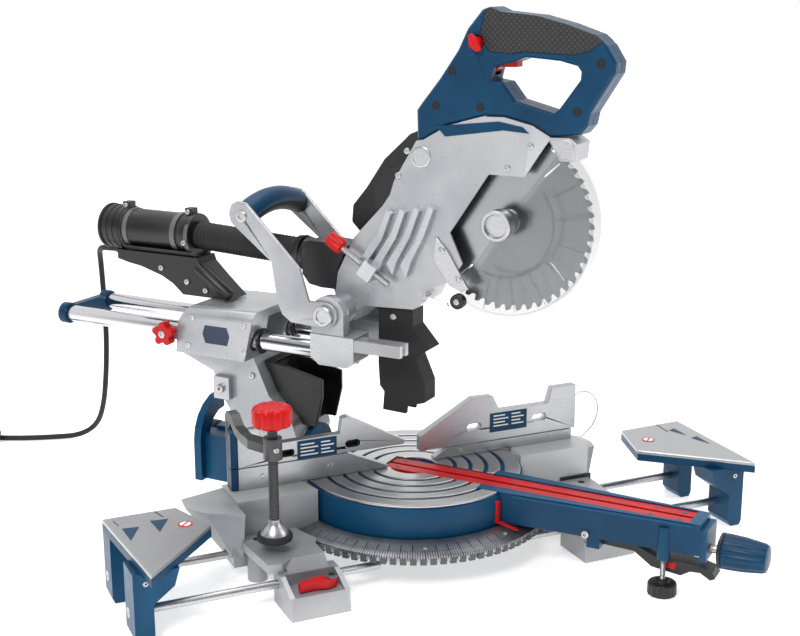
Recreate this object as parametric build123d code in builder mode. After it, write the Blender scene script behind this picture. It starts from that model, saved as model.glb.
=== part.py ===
from build123d import *
import math
import os

os.makedirs("parts", exist_ok=True)

# ---------------------------------------------------------------- dimensions
# Two frames are used.  The base frame has X along the fence, Y to the back and
# Z up, with its origin on the turntable axis at bench level.  The saw frame is
# the base frame turned by MITRE about Z: X across the blade, Y to the back.
MITRE = 38.0            # mitre angle at rest, degrees, arm swung to the right

TABLE_Z = 95.0          # work surface
DRUM_R = 140.0          # turntable radius
RING_R = 174.0          # mitre scale outer radius
FENCE_Y = 4.4           # front plane of both fences
FENCE_T = 11.0          # fence thickness
ROD_R = 5.0             # support rods
ROD_Y = (-20.0, -122.0)
ROD_Z = 27.0
ARM_TIP = -380.0        # front end of the table arm
KERF = 5.0              # slot between the kerf inserts

RAIL_R = 11.5           # slide rails
RAIL_U = 42.2
RAIL_Z = 245.0
RAIL_BACK = 516.0
PIVOT = (88.0, 297.0)   # chop pivot (y, z)
BLADE_C = (-125.0, 421.7)
BLADE_R = 108.0
BLADE_T = 2.4
GUARD_R = 113.0
TILT_Z = 95.0           # bevel axis height
TUBE_Z = 367.0          # dust tube axis
HOSE_R = 18.5
CORD_R = 4.0
HOSE_B = (4.0, 160.2, 356.9)


# ---------------------------------------------------------------- small tools
def slab(plane, pts, amount, mode=Mode.ADD, r=0.0):
    """A closed outline on a plane, drawn out by an amount."""
    with BuildSketch(plane) as sk:
        with BuildLine():
            Polyline(*pts, close=True)
        make_face()
        if r:
            fillet(sk.vertices(), r)
    extrude(sk.sketch, amount=amount, mode=mode)


def rod(p, q, r, mode=Mode.ADD, r2=None):
    """A round bar from p to q, or a cone when r2 is given."""
    a, b = Vector(*p), Vector(*q)
    length = (b - a).length
    with BuildSketch(Plane(origin=a, z_dir=b - a)) as sk:
        Circle(r)
    if r2 is None:
        extrude(sk.sketch, amount=length, mode=mode)
        return
    with BuildSketch(Plane(origin=b, z_dir=b - a)) as sk2:
        Circle(r2)
    loft([sk.sketch.faces()[0], sk2.sketch.faces()[0]], mode=mode)


def block(x, y, z, mode=Mode.ADD):
    """A box between pairs of limits."""
    with Locations(((x[0] + x[1]) / 2, (y[0] + y[1]) / 2, (z[0] + z[1]) / 2)):
        Box(x[1] - x[0], y[1] - y[0], z[1] - z[0], mode=mode)


def side(u):
    """The plane across the blade at x = u, drawn in (y, z)."""
    return Plane.YZ.offset(u)


def flat(z):
    return Plane.XY.offset(z)


def front(y):
    """The plane at the given y, drawn in (x, z), with its normal to the front."""
    return Plane.XZ.offset(-y)


def mirror_x(pts):
    return [(-x, y) for x, y in pts]


def save(name, part, turned=False):
    shape = part.part.rotate(Axis.Z, MITRE) if turned else part.part
    shape.label = name
    export_step(shape, f"parts/{name}.step")
    print(f"{name:24s} solids {len(shape.solids()):3d} volume {shape.volume:12.1f}")


# ================================================================ BASE FRAME
# ---------------------------------------------------------------- base
with BuildPart() as base_casting:
    with BuildSketch(flat(14)):
        Circle(100)
        Circle(88, mode=Mode.SUBTRACT)
    extrude(amount=22)
    with BuildSketch(flat(33)):
        Circle(152)
        Circle(26, mode=Mode.SUBTRACT)
    extrude(amount=9)
    with BuildSketch(flat(12)):
        Circle(40)
        Circle(9, mode=Mode.SUBTRACT)
    extrude(amount=36)
    with BuildSketch(flat(26)) as ribs:
        with PolarLocations(0, 6):
            with Locations((90, 0)):
                Rectangle(110, 8)
    extrude(ribs.sketch, amount=9)
    # notched detent rim
    with BuildSketch(flat(38)) as rim:
        Circle(172)
        Circle(150, mode=Mode.SUBTRACT)
        with PolarLocations(172.5, 30, start_angle=-135, angular_range=270 * 30 / 29):
            Rectangle(7, 5, mode=Mode.SUBTRACT)
    extrude(rim.sketch, amount=5)
    for s in (-1, 1):
        def m(pts):
            return pts if s < 0 else mirror_x(pts)
        # fence shoulder beside the drum, flush with the table
        slab(flat(46), m([(-150, 12), (-141.5, -29), (-244, -29), (-244, 34), (-150, 34)]), 49)
        slab(flat(14), m([(-120, 60), (-150, -29), (-244, -29), (-244, 34), (-205, 100), (-140, 110)]), 32)
        # wedge wing at the end
        top_pts = [(-244, -60), (-286, -34), (-303, -12), (-300, 18), (-244, 34)] if s < 0 else [(243, -29), (256, -26), (262, -8), (260, 16), (243, 34)]
        low_pts = [(-240, -32), (-250, -26), (-253, -10), (-252, 16), (-240, 28)] if s < 0 else [(238, -29), (244, -24), (247, -10), (246, 16), (238, 28)]
        with BuildSketch(flat(91)) as wing_top:
            with BuildLine():
                Polyline(*top_pts, close=True)
            make_face()
        with BuildSketch(flat(20)) as wing_low:
            with BuildLine():
                Polyline(*low_pts, close=True)
            make_face()
        loft([wing_top.sketch.faces()[0], wing_low.sketch.faces()[0]])
        # clamp platform in front of the shoulder
        slab(flat(40), m([(-244, -28), (-244, -52), (-238, -120), (-222, -124), (-165, -81), (-150, -42), (-150, -28)]), 11)
        # leg down to the support lever housing
        slab(Plane.YZ.offset(-216 if s < 0 else 166), [(-60, 40), (-95, 40), (-112, 0), (-128, 0), (-128, 36), (-112, 51), (-60, 51)], 50)
        # support lever housing
        with BuildSketch(Plane.YZ.offset(-228 if s < 0 else 156)) as hs:
            with BuildLine():
                Polyline((-110, 0), (-110, 40), (-134, 40), (-166, 27), (-170, 0), close=True)
            make_face()
            fillet(hs.vertices().sort_by(Axis.Z)[-2:], 5)
        extrude(hs.sketch, amount=72)
        block((s * 222 - 0 if s > 0 else -222, s * 162 if s > 0 else -162) if s < 0 else (162, 222),
              (-180, -130), (26.5, 60), mode=Mode.SUBTRACT)
        # cross wall that carries the rear rod
        slab(flat(14), m([(-252, -34), (-252, -6), (-150, -6), (-150, -34)]), 30)
    # rods run in plain bores
    for y in ROD_Y:
        rod((-260, y, ROD_Z), (260, y, ROD_Z), ROD_R + 0.3, mode=Mode.SUBTRACT)
    # seat of the fence in the middle
    slab(flat(14), [(-146, 60), (-146, 152), (146, 152), (146, 60)], 24)
    # free space for the turning drum
    with BuildSketch(flat(44.5)) as free:
        Circle(141.5)
    extrude(free.sketch, amount=80, mode=Mode.SUBTRACT)
    # seat of the mitre scale
    with BuildSketch(flat(43.1)) as seat:
        Circle(RING_R + 0.3)
        with Locations((0, 200 - 29.1)):
            Rectangle(500, 400, mode=Mode.SUBTRACT)
    extrude(seat.sketch, amount=30, mode=Mode.SUBTRACT)
    # pins of the two support levers
    for s in (-1, 1):
        rod((s * 172, -150, 20), (s * 172, -150, 39), 2.95)
    # bench bolt holes
    # bench bolt bosses
    for x in (-226, 226):
        for y, top in ((-44, 45), (44, 45)):
            rod((x, y, 0), (x, y, top), 12)
            rod((x, y, -1), (x, y, 60), 4.5, mode=Mode.SUBTRACT)
save("base_casting", base_casting)

with BuildPart() as scale_ring:
    with BuildSketch(Plane.XZ) as prof:
        with BuildLine():
            Polyline((143.2, 43.2), (RING_R, 43.2), (RING_R, 46.5), (143.2, 54.5), close=True)
        make_face()
    revolve(prof.sketch, axis=Axis.Z)
    # the rear third is cut away behind the fence
    slab(flat(30), [(-200, -29.4), (-200, 200), (200, 200), (200, -29.4)], 60, mode=Mode.SUBTRACT)
save("scale_ring", scale_ring)

with BuildPart() as fence_lower_left:
    slab(front(FENCE_Y), [(-231, TABLE_Z + 0.2), (-231, 123), (-88, 123), (-33, 98.5), (-33, 95.8), (-150, 95.8), (-150, TABLE_Z + 0.2)], -FENCE_T)
save("fence_lower_left", fence_lower_left)

with BuildPart() as fence_lower_right:
    slab(front(FENCE_Y), [(238, TABLE_Z + 0.2), (238, 109), (50, 109), (33, 98.5), (33, 95.8), (150, 95.8), (150, TABLE_Z + 0.2)], -FENCE_T)
save("fence_lower_right", fence_lower_right)

with BuildPart() as base_feet:
    for s in (-1, 1):
        with Locations((s * 200, 62, 7), (s * 128, 128, 7)):
            Cylinder(13, 14)
save("base_feet", base_feet)

CLAMP = (-216.0, -82.0)     # clamp spindle axis (x, y)
with BuildPart() as clamp_post:
    # post behind the fence that bends over to the clamp nut
    rod((-232, 25, 95), (-232, 25, 178), 7.0)
    slab(side(-238), [(18, 174), (32, 174), (32, 186), (24, 193), (8, 193), (-8, 183), (-30, 181), (-52, 182), (-52, 171), (-28, 170), (-6, 172), (10, 181)], 12)
    slab(flat(171), [(-238, -40), (-226, -40), (-207, -76), (-207, -84), (-224, -84), (-238, -56)], 11)
    rod((*CLAMP, 164), (*CLAMP, 190), 11)
    rod((*CLAMP, 150), (*CLAMP, 210), 6.25, mode=Mode.SUBTRACT)
save("clamp_post", clamp_post)

with BuildPart() as clamp_screw:
    rod((*CLAMP, 72), (*CLAMP, 203), 6.0)
    # foot
    rod((*CLAMP, 64), (*CLAMP, 72), 21, r2=19)
    rod((*CLAMP, 72), (*CLAMP, 86), 17, r2=7)
    # fluted knob
    with BuildSketch(flat(203)) as knob:
        with Locations(CLAMP):
            Circle(24)
            with PolarLocations(25.5, 8):
                Circle(4.2, mode=Mode.SUBTRACT)
    extrude(knob.sketch, amount=26)
save("clamp_screw", clamp_screw)


# ---------------------------------------------------------------- supports
SUPPORT_L = [(-402, -13), (-315, -13), (-292, -82), (-388, -185)]
for name, s in (("left", -1), ("right", 1)):
    pts = SUPPORT_L if s < 0 else [(413, 6), (318, 3), (293, -74), (405, -175)]
    x_leg = -388 if s < 0 else 396
    with BuildPart() as table:
        slab(flat(TABLE_Z - 5), pts, 5)
    save(f"support_{name}_table", table)
    with BuildPart() as legs:
        slab(flat(TABLE_Z - 14), pts, 9)
        for y0, y1 in ((-40, -4), (-150, -108)):
            slab(front(y1), [(x_leg - s * 40, 82), (x_leg - s * 34, 62), (x_leg - s * 10, 44), (x_leg - s * 10, 8),
                             (x_leg - s * 4, 0), (x_leg + s * 9, 0), (x_leg + s * 12, 6), (x_leg + s * 12, 82)], y1 - y0)
        for y in ROD_Y:
            rod((x_leg - s * 60, y, ROD_Z), (x_leg + s * 6, y, ROD_Z), ROD_R, mode=Mode.SUBTRACT)
    save(f"support_{name}_legs", legs)
    with BuildPart() as rods:
        for y in ROD_Y:
            rod((x_leg + s * 6, y, ROD_Z), (s * 100, y, ROD_Z), ROD_R)
    save(f"support_{name}_rods", rods)

LEVER = [(-213, -158), (-213, -150), (-190, -143), (-180, -142), (-168, -144), (-164.5, -150), (-168, -156), (-180, -160), (-196, -156)]
for name, s in (("left", -1), ("right", 1)):
    with BuildPart() as lever:
        slab(flat(27.5), LEVER if s < 0 else mirror_x(LEVER), 10.5)
        rod((s * 172, -150, 20), (s * 172, -150, 45), 3.0, mode=Mode.SUBTRACT)
    save(f"support_lever_{name}", lever)


# ---------------------------------------------------------------- upper fences
with BuildPart() as fence_upper_left:
    slab(front(FENCE_Y), [(-231, 123.6), (-231, 171), (-205, 172), (-200, 149), (-98, 150), (-95, 170), (-88, 172), (-8, 128), (-12, 123.6)], -FENCE_T)
    for x in (-169, -81):
        with BuildSketch(front(FENCE_Y - 1)) as slot:
            with Locations((x, 134.5)):
                SlotOverall(20, 9)
        extrude(slot.sketch, amount=-20, mode=Mode.SUBTRACT)
save("fence_upper_left", fence_upper_left)

with BuildPart() as fence_upper_right:
    slab(front(FENCE_Y), [(12, 109.6), (12, 130), (88, 172), (117, 171), (128, 150), (200, 150), (206, 171), (243, 171), (243, 109.6)], -FENCE_T)
    for x in (90, 187):
        with BuildSketch(front(FENCE_Y - 1)) as slot:
            with Locations((x, 132)):
                SlotOverall(20, 9)
        extrude(slot.sketch, amount=-20, mode=Mode.SUBTRACT)
save("fence_upper_right", fence_upper_right)


TETHER = [(244, 12, 152), (262, 18, 156), (284, 24, 146), (298, 31, 122), (295, 37, 98), (280, 40, 82), (264, 38, 76)]
with BuildPart() as tether_wire:
    # thin steel wire that ties the sliding fence to the base
    tether_r = []
    for i in range(1, len(TETHER) - 1):
        a, b, c = (Vector(*TETHER[j]) for j in (i - 1, i, i + 1))
        tether_r.append(0.45 * min((b - a).length, (c - b).length) / math.tan(math.radians((b - a).get_angle(c - b)) / 2))
    with BuildLine():
        tether_line = FilletPolyline(*TETHER, radius=tether_r)
    with BuildSketch(Plane(origin=tether_line @ 0, z_dir=tether_line % 0)) as tether_sec:
        Circle(0.9)
    sweep(tether_sec.sketch, path=tether_line)
print("tether radii", [round(r, 1) for r in tether_r], "length", round(tether_line.length, 1))
save("tether_wire", tether_wire)


# ================================================================ SAW FRAME
# ---------------------------------------------------------------- turntable
with BuildPart() as turntable_drum:
    with BuildSketch(flat(48.5)):
        Circle(DRUM_R)
        Circle(DRUM_R - 6, mode=Mode.SUBTRACT)
    extrude(amount=42.5)
    with BuildSketch(flat(84)):
        Circle(DRUM_R)
    extrude(amount=7)
    with BuildSketch(flat(48.5)):
        Circle(38)
        Circle(9, mode=Mode.SUBTRACT)
    extrude(amount=36)
    with BuildSketch(flat(60)) as ribs:
        with PolarLocations(0, 8, start_angle=22.5):
            with Locations((86, 0)):
                Rectangle(104, 6)
    extrude(ribs.sketch, amount=24)
    # seat of the kerf inserts and the blade run-out
    block((-20, 20), (-150, 34), (86, 100), mode=Mode.SUBTRACT)
    block((-9, 9), (-150, 40), (70, 100), mode=Mode.SUBTRACT)
    # opening where the arm enters
    block((-34.5, 34.5), (-160, -104), (40, 95), mode=Mode.SUBTRACT)
    # rear neck that carries the bevel pivot
    slab(flat(50), [(-44, 104), (44, 104), (44, 146), (-44, 146)], 34)
    rod((0, 139, TILT_Z), (0, 146, TILT_Z), 34)
    # pivot stud
    rod((0, 0, 14), (0, 0, 60), 8.95)
    slab(flat(50), [(-30, 146), (30, 146), (30, 246), (-30, 246)], 7)
save("turntable_drum", turntable_drum, True)

with BuildPart() as table_arcs:
    # raised bearing lands of the table
    for r0, r1 in ((117, 137.5), (96, 112), (76, 91), (56, 71), (30, 51)):
        with BuildSketch(flat(91)) as land:
            Circle(r1)
            Circle(r0, mode=Mode.SUBTRACT)
        extrude(land.sketch, amount=4)
    block((-20, 20), (-150, 34), (86, 100), mode=Mode.SUBTRACT)
    block((-34.5, 34.5), (-160, -104), (40, 99), mode=Mode.SUBTRACT)
save("table_arcs", table_arcs, True)

with BuildPart() as kerf_inserts:
    for s in (-1, 1):
        slab(flat(86), [(s * KERF / 2, -366), (s * 18.6, -366), (s * 18.6, 32), (s * KERF / 2, 32)], 7.5)
save("kerf_inserts", kerf_inserts, True)

with BuildPart() as table_arm:
    slab(flat(56), [(-34, -104.5), (-33, -150), (-21, ARM_TIP), (21, ARM_TIP), (33, -150), (34, -104.5)], 39)
    # open underside
    slab(flat(50), [(-28, -110), (-28, -150), (-16.5, -372), (16.5, -372), (28, -150), (28, -110)], 30, mode=Mode.SUBTRACT)
    # seat of the kerf inserts and the blade run-out
    block((-18.9, 18.9), (-366.3, -100), (86, 100), mode=Mode.SUBTRACT)
    block((-9, 9), (-366, -100), (60, 100), mode=Mode.SUBTRACT)
    # boss of the adjustable foot
    rod((-19, -338, 44), (-19, -338, 85.5), 8)
    rod((-19, -338, 30), (-19, -338, 70), 3.6, mode=Mode.SUBTRACT)
    # nose plate that carries the mitre lock
    block((-21, 21), (-388, ARM_TIP), (50.5, 88))
    rod((0, -370, 60), (0, -400, 60), 5.4, mode=Mode.SUBTRACT)
    # pivot lugs of the detent lever
    block((-27, -13), (-262, -246), (43, 60))
    block((13, 27), (-262, -246), (43, 60))
    rod((-20, -254, 49), (20, -254, 49), 2.5)
    # root that closes against the drum
    block((-34, 34), (-112, -104.5), (56, 82))
save("table_arm", table_arm, True)

with BuildPart() as arm_foot:
    rod((-19, -338, 14), (-19, -338, 58), 3.4)
    with BuildSketch(flat(0)) as disc:
        with Locations((-19, -338)):
            Circle(17)
            with PolarLocations(18, 10):
                Circle(2.2, mode=Mode.SUBTRACT)
    extrude(disc.sketch, amount=15)
save("arm_foot", arm_foot, True)

with BuildPart() as mitre_lock_knob:
    rod((0, -374, 60), (0, -398, 60), 5.0)
    rod((0, -397, 60), (0, -405, 60), 18, r2=21)
    rod((0, -405, 60), (0, -455, 60), 21, r2=17)
    fillet(mitre_lock_knob.edges().sort_by(Axis.Y)[0], 2.5)
save("mitre_lock_knob", mitre_lock_knob, True)

with BuildPart() as detent_lever:
    slab(side(-12), [(-247, 54), (-247, 44.5), (-300, 43), (-322, 28), (-357, 24), (-368, 31), (-380, 32), (-392, 25),
                     (-398, 28), (-394, 36), (-378, 40), (-361, 41), (-330, 40), (-300, 52), (-275, 54)], 24)
    fillet(detent_lever.edges().filter_by(Axis.X), 1.2)
    rod((-20, -254, 49), (20, -254, 49), 2.56, mode=Mode.SUBTRACT)
    block((-30, 30), (-392, -376), (40.2, 60), mode=Mode.SUBTRACT)
    block((-30, -12.6), (-270, -240), (40, 60), mode=Mode.SUBTRACT)
    block((12.6, 30), (-270, -240), (40, 60), mode=Mode.SUBTRACT)
save("detent_lever", detent_lever, True)

with BuildPart() as bevel_scale:
    # rear quadrant with its blue cover block
    slab(flat(50), [(-30, 246.3), (30, 246.3), (30, 252), (-30, 252)], 7)
    block((-45, 45), (252, 300), (40, 58))
    block((-45, -18), (252, 300), (58, 104))
    block((18, 45), (252, 300), (58, 80))
    with BuildSketch(front(292)) as quad:
        with BuildLine():
            Polyline((-56, 40), (-56, 95), (-53, 113), (-45, 129), (-33, 141), (-16, 150), (2, 152), (2, 130), (-12, 128), (-24, 120),
                     (-32, 108), (-34, 95), (-34, 40), close=True)
        make_face()
    extrude(quad.sketch, amount=-11)
    # bevel axle through the tilt arm
    rod((0, 146.1, TILT_Z), (0, 300.2, TILT_Z), 11.95)
    block((-18, 18), (252, 292), (58, 108))
save("bevel_scale", bevel_scale, True)

# ---------------------------------------------------------------- tilt arm
with BuildPart() as tilt_arm_casting:
    slab(side(-43), [(152, 95), (148, 119), (156, 142), (189, 171), (212, 221), (320, 221), (325, 213), (276, 194), (262, 160), (240, 128), (240, 95)], 86)
    rod((0, 148, TILT_Z), (0, 240, TILT_Z), 34)
    # rail housing
    with BuildSketch(side(-64)) as hs:
        with BuildLine():
            Polyline((196, 286), (300, 283), (315, 262), (320, 220), (212, 220), close=True)
        make_face()
    extrude(hs.sketch, amount=128)
    fillet(tilt_arm_casting.edges().filter_by(lambda e: abs(e.center().X) > 63 and e.center().Z > 280), 14)
    # bores
    for s in (-1, 1):
        rod((s * RAIL_U, 150, RAIL_Z), (s * RAIL_U, 319, RAIL_Z), 15.0, mode=Mode.SUBTRACT)
    # hollow middle between the rails
    block((-24, 24), (188, 330), (232, 274), mode=Mode.SUBTRACT)
    # axle bore
    rod((0, 140, TILT_Z), (0, 250, TILT_Z), 12.0, mode=Mode.SUBTRACT)
    # hollow back of the upright
    slab(side(-34), [(262, 205), (225, 205), (206, 168), (225, 150), (250, 160), (262, 190)], 68, mode=Mode.SUBTRACT)
    # thread of the slide lock
    block((-64, -57.4), (300, 330), (237, 255))
    rod((-64, 330, 246), (-57.4, 330, 246), 10)
    # locking stop lug on the near side
    block((-52, -43), (246, 270), (160, 190))
save("tilt_arm_casting", tilt_arm_casting, True)

with BuildPart() as linear_bearings:
    for s in (-1, 1):
        for y0, y1 in ((216, 240), (286, 310)):
            rod((s * RAIL_U, y0, RAIL_Z), (s * RAIL_U, y1, RAIL_Z), 15.0)
    for s in (-1, 1):
        rod((s * RAIL_U, 200, RAIL_Z), (s * RAIL_U, 330, RAIL_Z), RAIL_R + 0.25, mode=Mode.SUBTRACT)
save("linear_bearings", linear_bearings, True)

with BuildPart() as slide_lock_knob:
    with BuildSketch(side(-80)) as star:
        with Locations((330, 246)):
            Circle(11)
            with PolarLocations(11, 5, start_angle=90):
                Circle(5.2)
    extrude(star.sketch, amount=12)
    rod((-68, 330, 246), (-64.4, 330, 246), 6)
save("slide_lock_knob", slide_lock_knob, True)

with BuildPart() as bevel_lock_lever:
    rod((0, 300.5, TILT_Z), (0, 316, TILT_Z), 13)
    slab(front(316), [(-9, 95), (9, 95), (30, 62), (46, 44), (38, 36), (22, 48)], -9)
save("bevel_lock_lever", bevel_lock_lever, True)

with BuildPart() as duct_bracket:
    slab(side(-20), [(446, 338.6), (446, 326), (428, 322), (407, 319), (372, 309), (354, 300), (338, 286.5), (262, 286.5), (292, 313), (310, 330), (313, 338.6)], 40)
    # round conduit on the near side of the bracket
    rod((-20, 262, 292), (-20, 312, 326), 8)
    # saddle around the tube
    rod((0, 318, TUBE_Z), (0, 431, TUBE_Z), 33)
    block((-40, 40), (300, 450), (347, 420), mode=Mode.SUBTRACT)
    rod((0, 300, TUBE_Z), (0, 460, TUBE_Z), 28.4, mode=Mode.SUBTRACT)
    rod((0, 431, TUBE_Z), (0, 480, TUBE_Z), 30, mode=Mode.SUBTRACT)
    block((-60, 60), (240, 345), (250, 286.5), mode=Mode.SUBTRACT)
    # cord gland at the rear end
    rod((9, 446, 332), (9, 470, 332), 6.4, r2=5.2)
save("duct_bracket", duct_bracket, True)

with BuildPart() as dust_tube:
    rod((0, 340, TUBE_Z), (0, 432, TUBE_Z), 26.5)
    rod((0, 432, TUBE_Z), (0, 470, TUBE_Z), 29.5)
    rod((0, 322, TUBE_Z), (0, 340, TUBE_Z), 28.0)
    with Locations((0, 438, TUBE_Z + 30)):
        Box(14, 12, 12)
    with Locations((0, 334, TUBE_Z + 29)):
        Box(14, 12, 12)
    rod((0, 338.5, TUBE_Z), (0, 480, TUBE_Z), 23.5, mode=Mode.SUBTRACT)
    rod((0, 310, TUBE_Z), (0, 345, TUBE_Z), 16.5, mode=Mode.SUBTRACT)
save("dust_tube", dust_tube, True)

with BuildPart() as dust_scoop:
    slab(side(-27), [(118, 199), (118, 174), (128, 134), (149, 134), (154, 144), (186.5, 173.5), (206, 214), (170, 210)], 54)
    slab(side(-23), [(100, 90), (140, 122), (146, 146), (178, 178), (194, 209), (176, 240), (100, 240)], 46, mode=Mode.SUBTRACT)
save("dust_scoop", dust_scoop, True)

# ---------------------------------------------------------------- carriage
with BuildPart() as slide_rails:
    for s in (-1, 1):
        rod((s * RAIL_U, 56, RAIL_Z), (s * RAIL_U, RAIL_BACK, RAIL_Z), RAIL_R)
        rod((s * RAIL_U, 300, RAIL_Z), (s * RAIL_U, RAIL_BACK + 5, RAIL_Z), 8.5, mode=Mode.SUBTRACT)
save("slide_rails", slide_rails, True)

with BuildPart() as rail_end_cap:
    with BuildSketch(front(RAIL_BACK)) as cap:
        for s in (-1, 1):
            with Locations((s * RAIL_U, RAIL_Z)):
                Circle(14.5)
        with Locations((0, RAIL_Z)):
            Rectangle(2 * RAIL_U, 20)
    extrude(cap.sketch, amount=-11)
save("rail_end_cap", rail_end_cap, True)

with BuildPart() as front_carrier:
    for s in (-1, 1):
        with BuildSketch(side(-64 if s < 0 else 25)) as cheek:
            with BuildLine():
                Polyline((50, 271), (50, 240), (60, 232), (100, 232), (112, 242), (112, 271), close=True)
            make_face()
        extrude(cheek.sketch, amount=39)
        # hinge lug
        with BuildSketch(side(-62 if s < 0 else 48)) as lug:
            with Locations(PIVOT):
                Circle(23)
            with BuildLine():
                Polyline((65, 268), (65, 297), (111, 297), (111, 268), close=True)
            make_face()
        extrude(lug.sketch, amount=14)
    block((-25, 25), (104, 120), (242, 270))
    block((-44, 44), (112, 120), (242, 270))
    # guide fork of the depth stop on the near side
    block((-63, -56), (-14, 52), (254, 269))
    block((-48, -41), (-14, 52), (254, 269))
    block((-56, -48), (36, 52), (254, 269))
    for s in (-1, 1):
        rod((s * RAIL_U, 56, RAIL_Z), (s * RAIL_U, 130, RAIL_Z), RAIL_R, mode=Mode.SUBTRACT)
    rod((-80, *PIVOT), (80, *PIVOT), 8.0, mode=Mode.SUBTRACT)
save("front_carrier", front_carrier, True)

with BuildPart() as pivot_shaft:
    rod((-71.5, *PIVOT), (71.5, *PIVOT), 8.0)
    for s in (-1, 1):
        rod((s * 68.3, *PIVOT), (s * 73, *PIVOT), 10.5)
save("pivot_shaft", pivot_shaft, True)

PLATE = [(88, 281), (137, 283), (150, 292), (157, 309), (164, 357), (223, 402), (226, 413), (222, 425), (213, 430), (200, 428),
         (123.5, 353), (111, 313), (88, 313)]
with BuildPart() as carry_handle_plates:
    for s in (-1, 1):
        with BuildSketch(side(-68.2 if s < 0 else 63.2)) as plate:
            with BuildLine():
                Polyline(*PLATE, close=True)
            make_face()
            with Locations(PIVOT):
                Circle(16)
        extrude(plate.sketch, amount=5)
    rod((-80, *PIVOT), (80, *PIVOT), 8.0, mode=Mode.SUBTRACT)
    rod((-80, 207, 411), (80, 207, 411), 4.0, mode=Mode.SUBTRACT)
save("carry_handle_plates", carry_handle_plates, True)

with BuildPart() as carry_grip:
    with BuildLine() as grip_axis:
        Spline((-63, 206, 412), (0, 205, 425), (63, 206, 412))
    with BuildSketch(Plane(origin=grip_axis.line @ 0, z_dir=grip_axis.line % 0)) as grip_sec:
        Ellipse(14.5, 16)
    sweep(grip_sec.sketch, path=grip_axis.line)
    block((-90, -63.2), (150, 260), (350, 480), mode=Mode.SUBTRACT)
    block((63.2, 90), (150, 260), (350, 480), mode=Mode.SUBTRACT)
save("carry_grip", carry_grip, True)

with BuildPart() as return_spring:
    # torsion spring around the far end of the hinge barrel
    with BuildSketch(side(30.5)) as coil:
        with Locations(PIVOT):
            Circle(19)
            Circle(15.2, mode=Mode.SUBTRACT)
    extrude(coil.sketch, amount=16.5)
save("return_spring", return_spring, True)

# ---------------------------------------------------------------- head
CASING = [(-14, 513), (16, 463), (21.5, 446), (32, 431), (72, 389), (96, 342), (99, 318), (104, 298), (98, 282), (86, 276), (74, 282), (64, 300),
          (58, 303), (-11, 306), (-28, 319), (-37.5, 336), (-61, 347.5), (-76, 370), (-59, 406), (-108, 479), (-153, 479), (-182, 523),
          (-183, 526), (-161, 538), (-126, 546), (-100, 545.5), (-55, 533), (-22, 514)]
with BuildPart() as upper_guard:
    slab(side(-21), CASING, 42)
    # hinge barrel
    rod((-46, *PIVOT), (29.5, *PIVOT), 19)
    rod((-46, *PIVOT), (47, *PIVOT), 14.5)
    rod((-50, *PIVOT), (50, *PIVOT), 8.3, mode=Mode.SUBTRACT)
    # room for the blade and the swinging guard
    with BuildSketch(side(-18.2)) as room:
        with Locations(BLADE_C):
            Circle(GUARD_R + 3)
    extrude(room.sketch, amount=36.4, mode=Mode.SUBTRACT)
    # cooling ribs on the near face
    for k in range(4):
        dv = k * 19.0
        slab(side(-30), [(52 - dv, 352 - k * 1.5), (60 - dv, 362), (40 - dv, 392), (34 - dv, 398 + k * 3), (22 - dv, 428 + k * 3), (16 - dv, 424 + k * 3),
                         (28 - dv, 392 + k * 3), (46 - dv, 366)], 10)
    # lug of the depth stop
    with BuildSketch(side(-42)) as lug:
        with BuildLine():
            Polyline((58, 348), (46, 366), (30, 356), (42, 338), close=True)
        make_face()
    extrude(lug.sketch, amount=22)
    rod((-34, 104, 391), (-34, 12, 333.6), 4.6, mode=Mode.SUBTRACT)
    # front bracket over the blade
    slab(side(-21), [(-183, 525.6), (-190, 526), (-206, 526.5), (-216, 520), (-214, 500), (-196, 500), (-182, 522.8)], 42)
    # dust passage behind the blade
    slab(side(-16), [(-40, 500), (2, 458), (10, 440), (58, 388), (76, 350), (58, 332), (0, 322), (-30, 345)], 32, mode=Mode.SUBTRACT)
    with BuildSketch(side(-18.2)) as room2:
        with Locations(BLADE_C):
            Circle(GUARD_R + 3)
    extrude(room2.sketch, amount=36.4, mode=Mode.SUBTRACT)
save("upper_guard", upper_guard, True)

with BuildPart() as depth_stop:
    rod((-34, 100.2, 388.6), (-34, 16, 336), 4.2)
    rod((-34, 99, 387.8), (-34, 80, 376), 10)
save("depth_stop", depth_stop, True)

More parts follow.
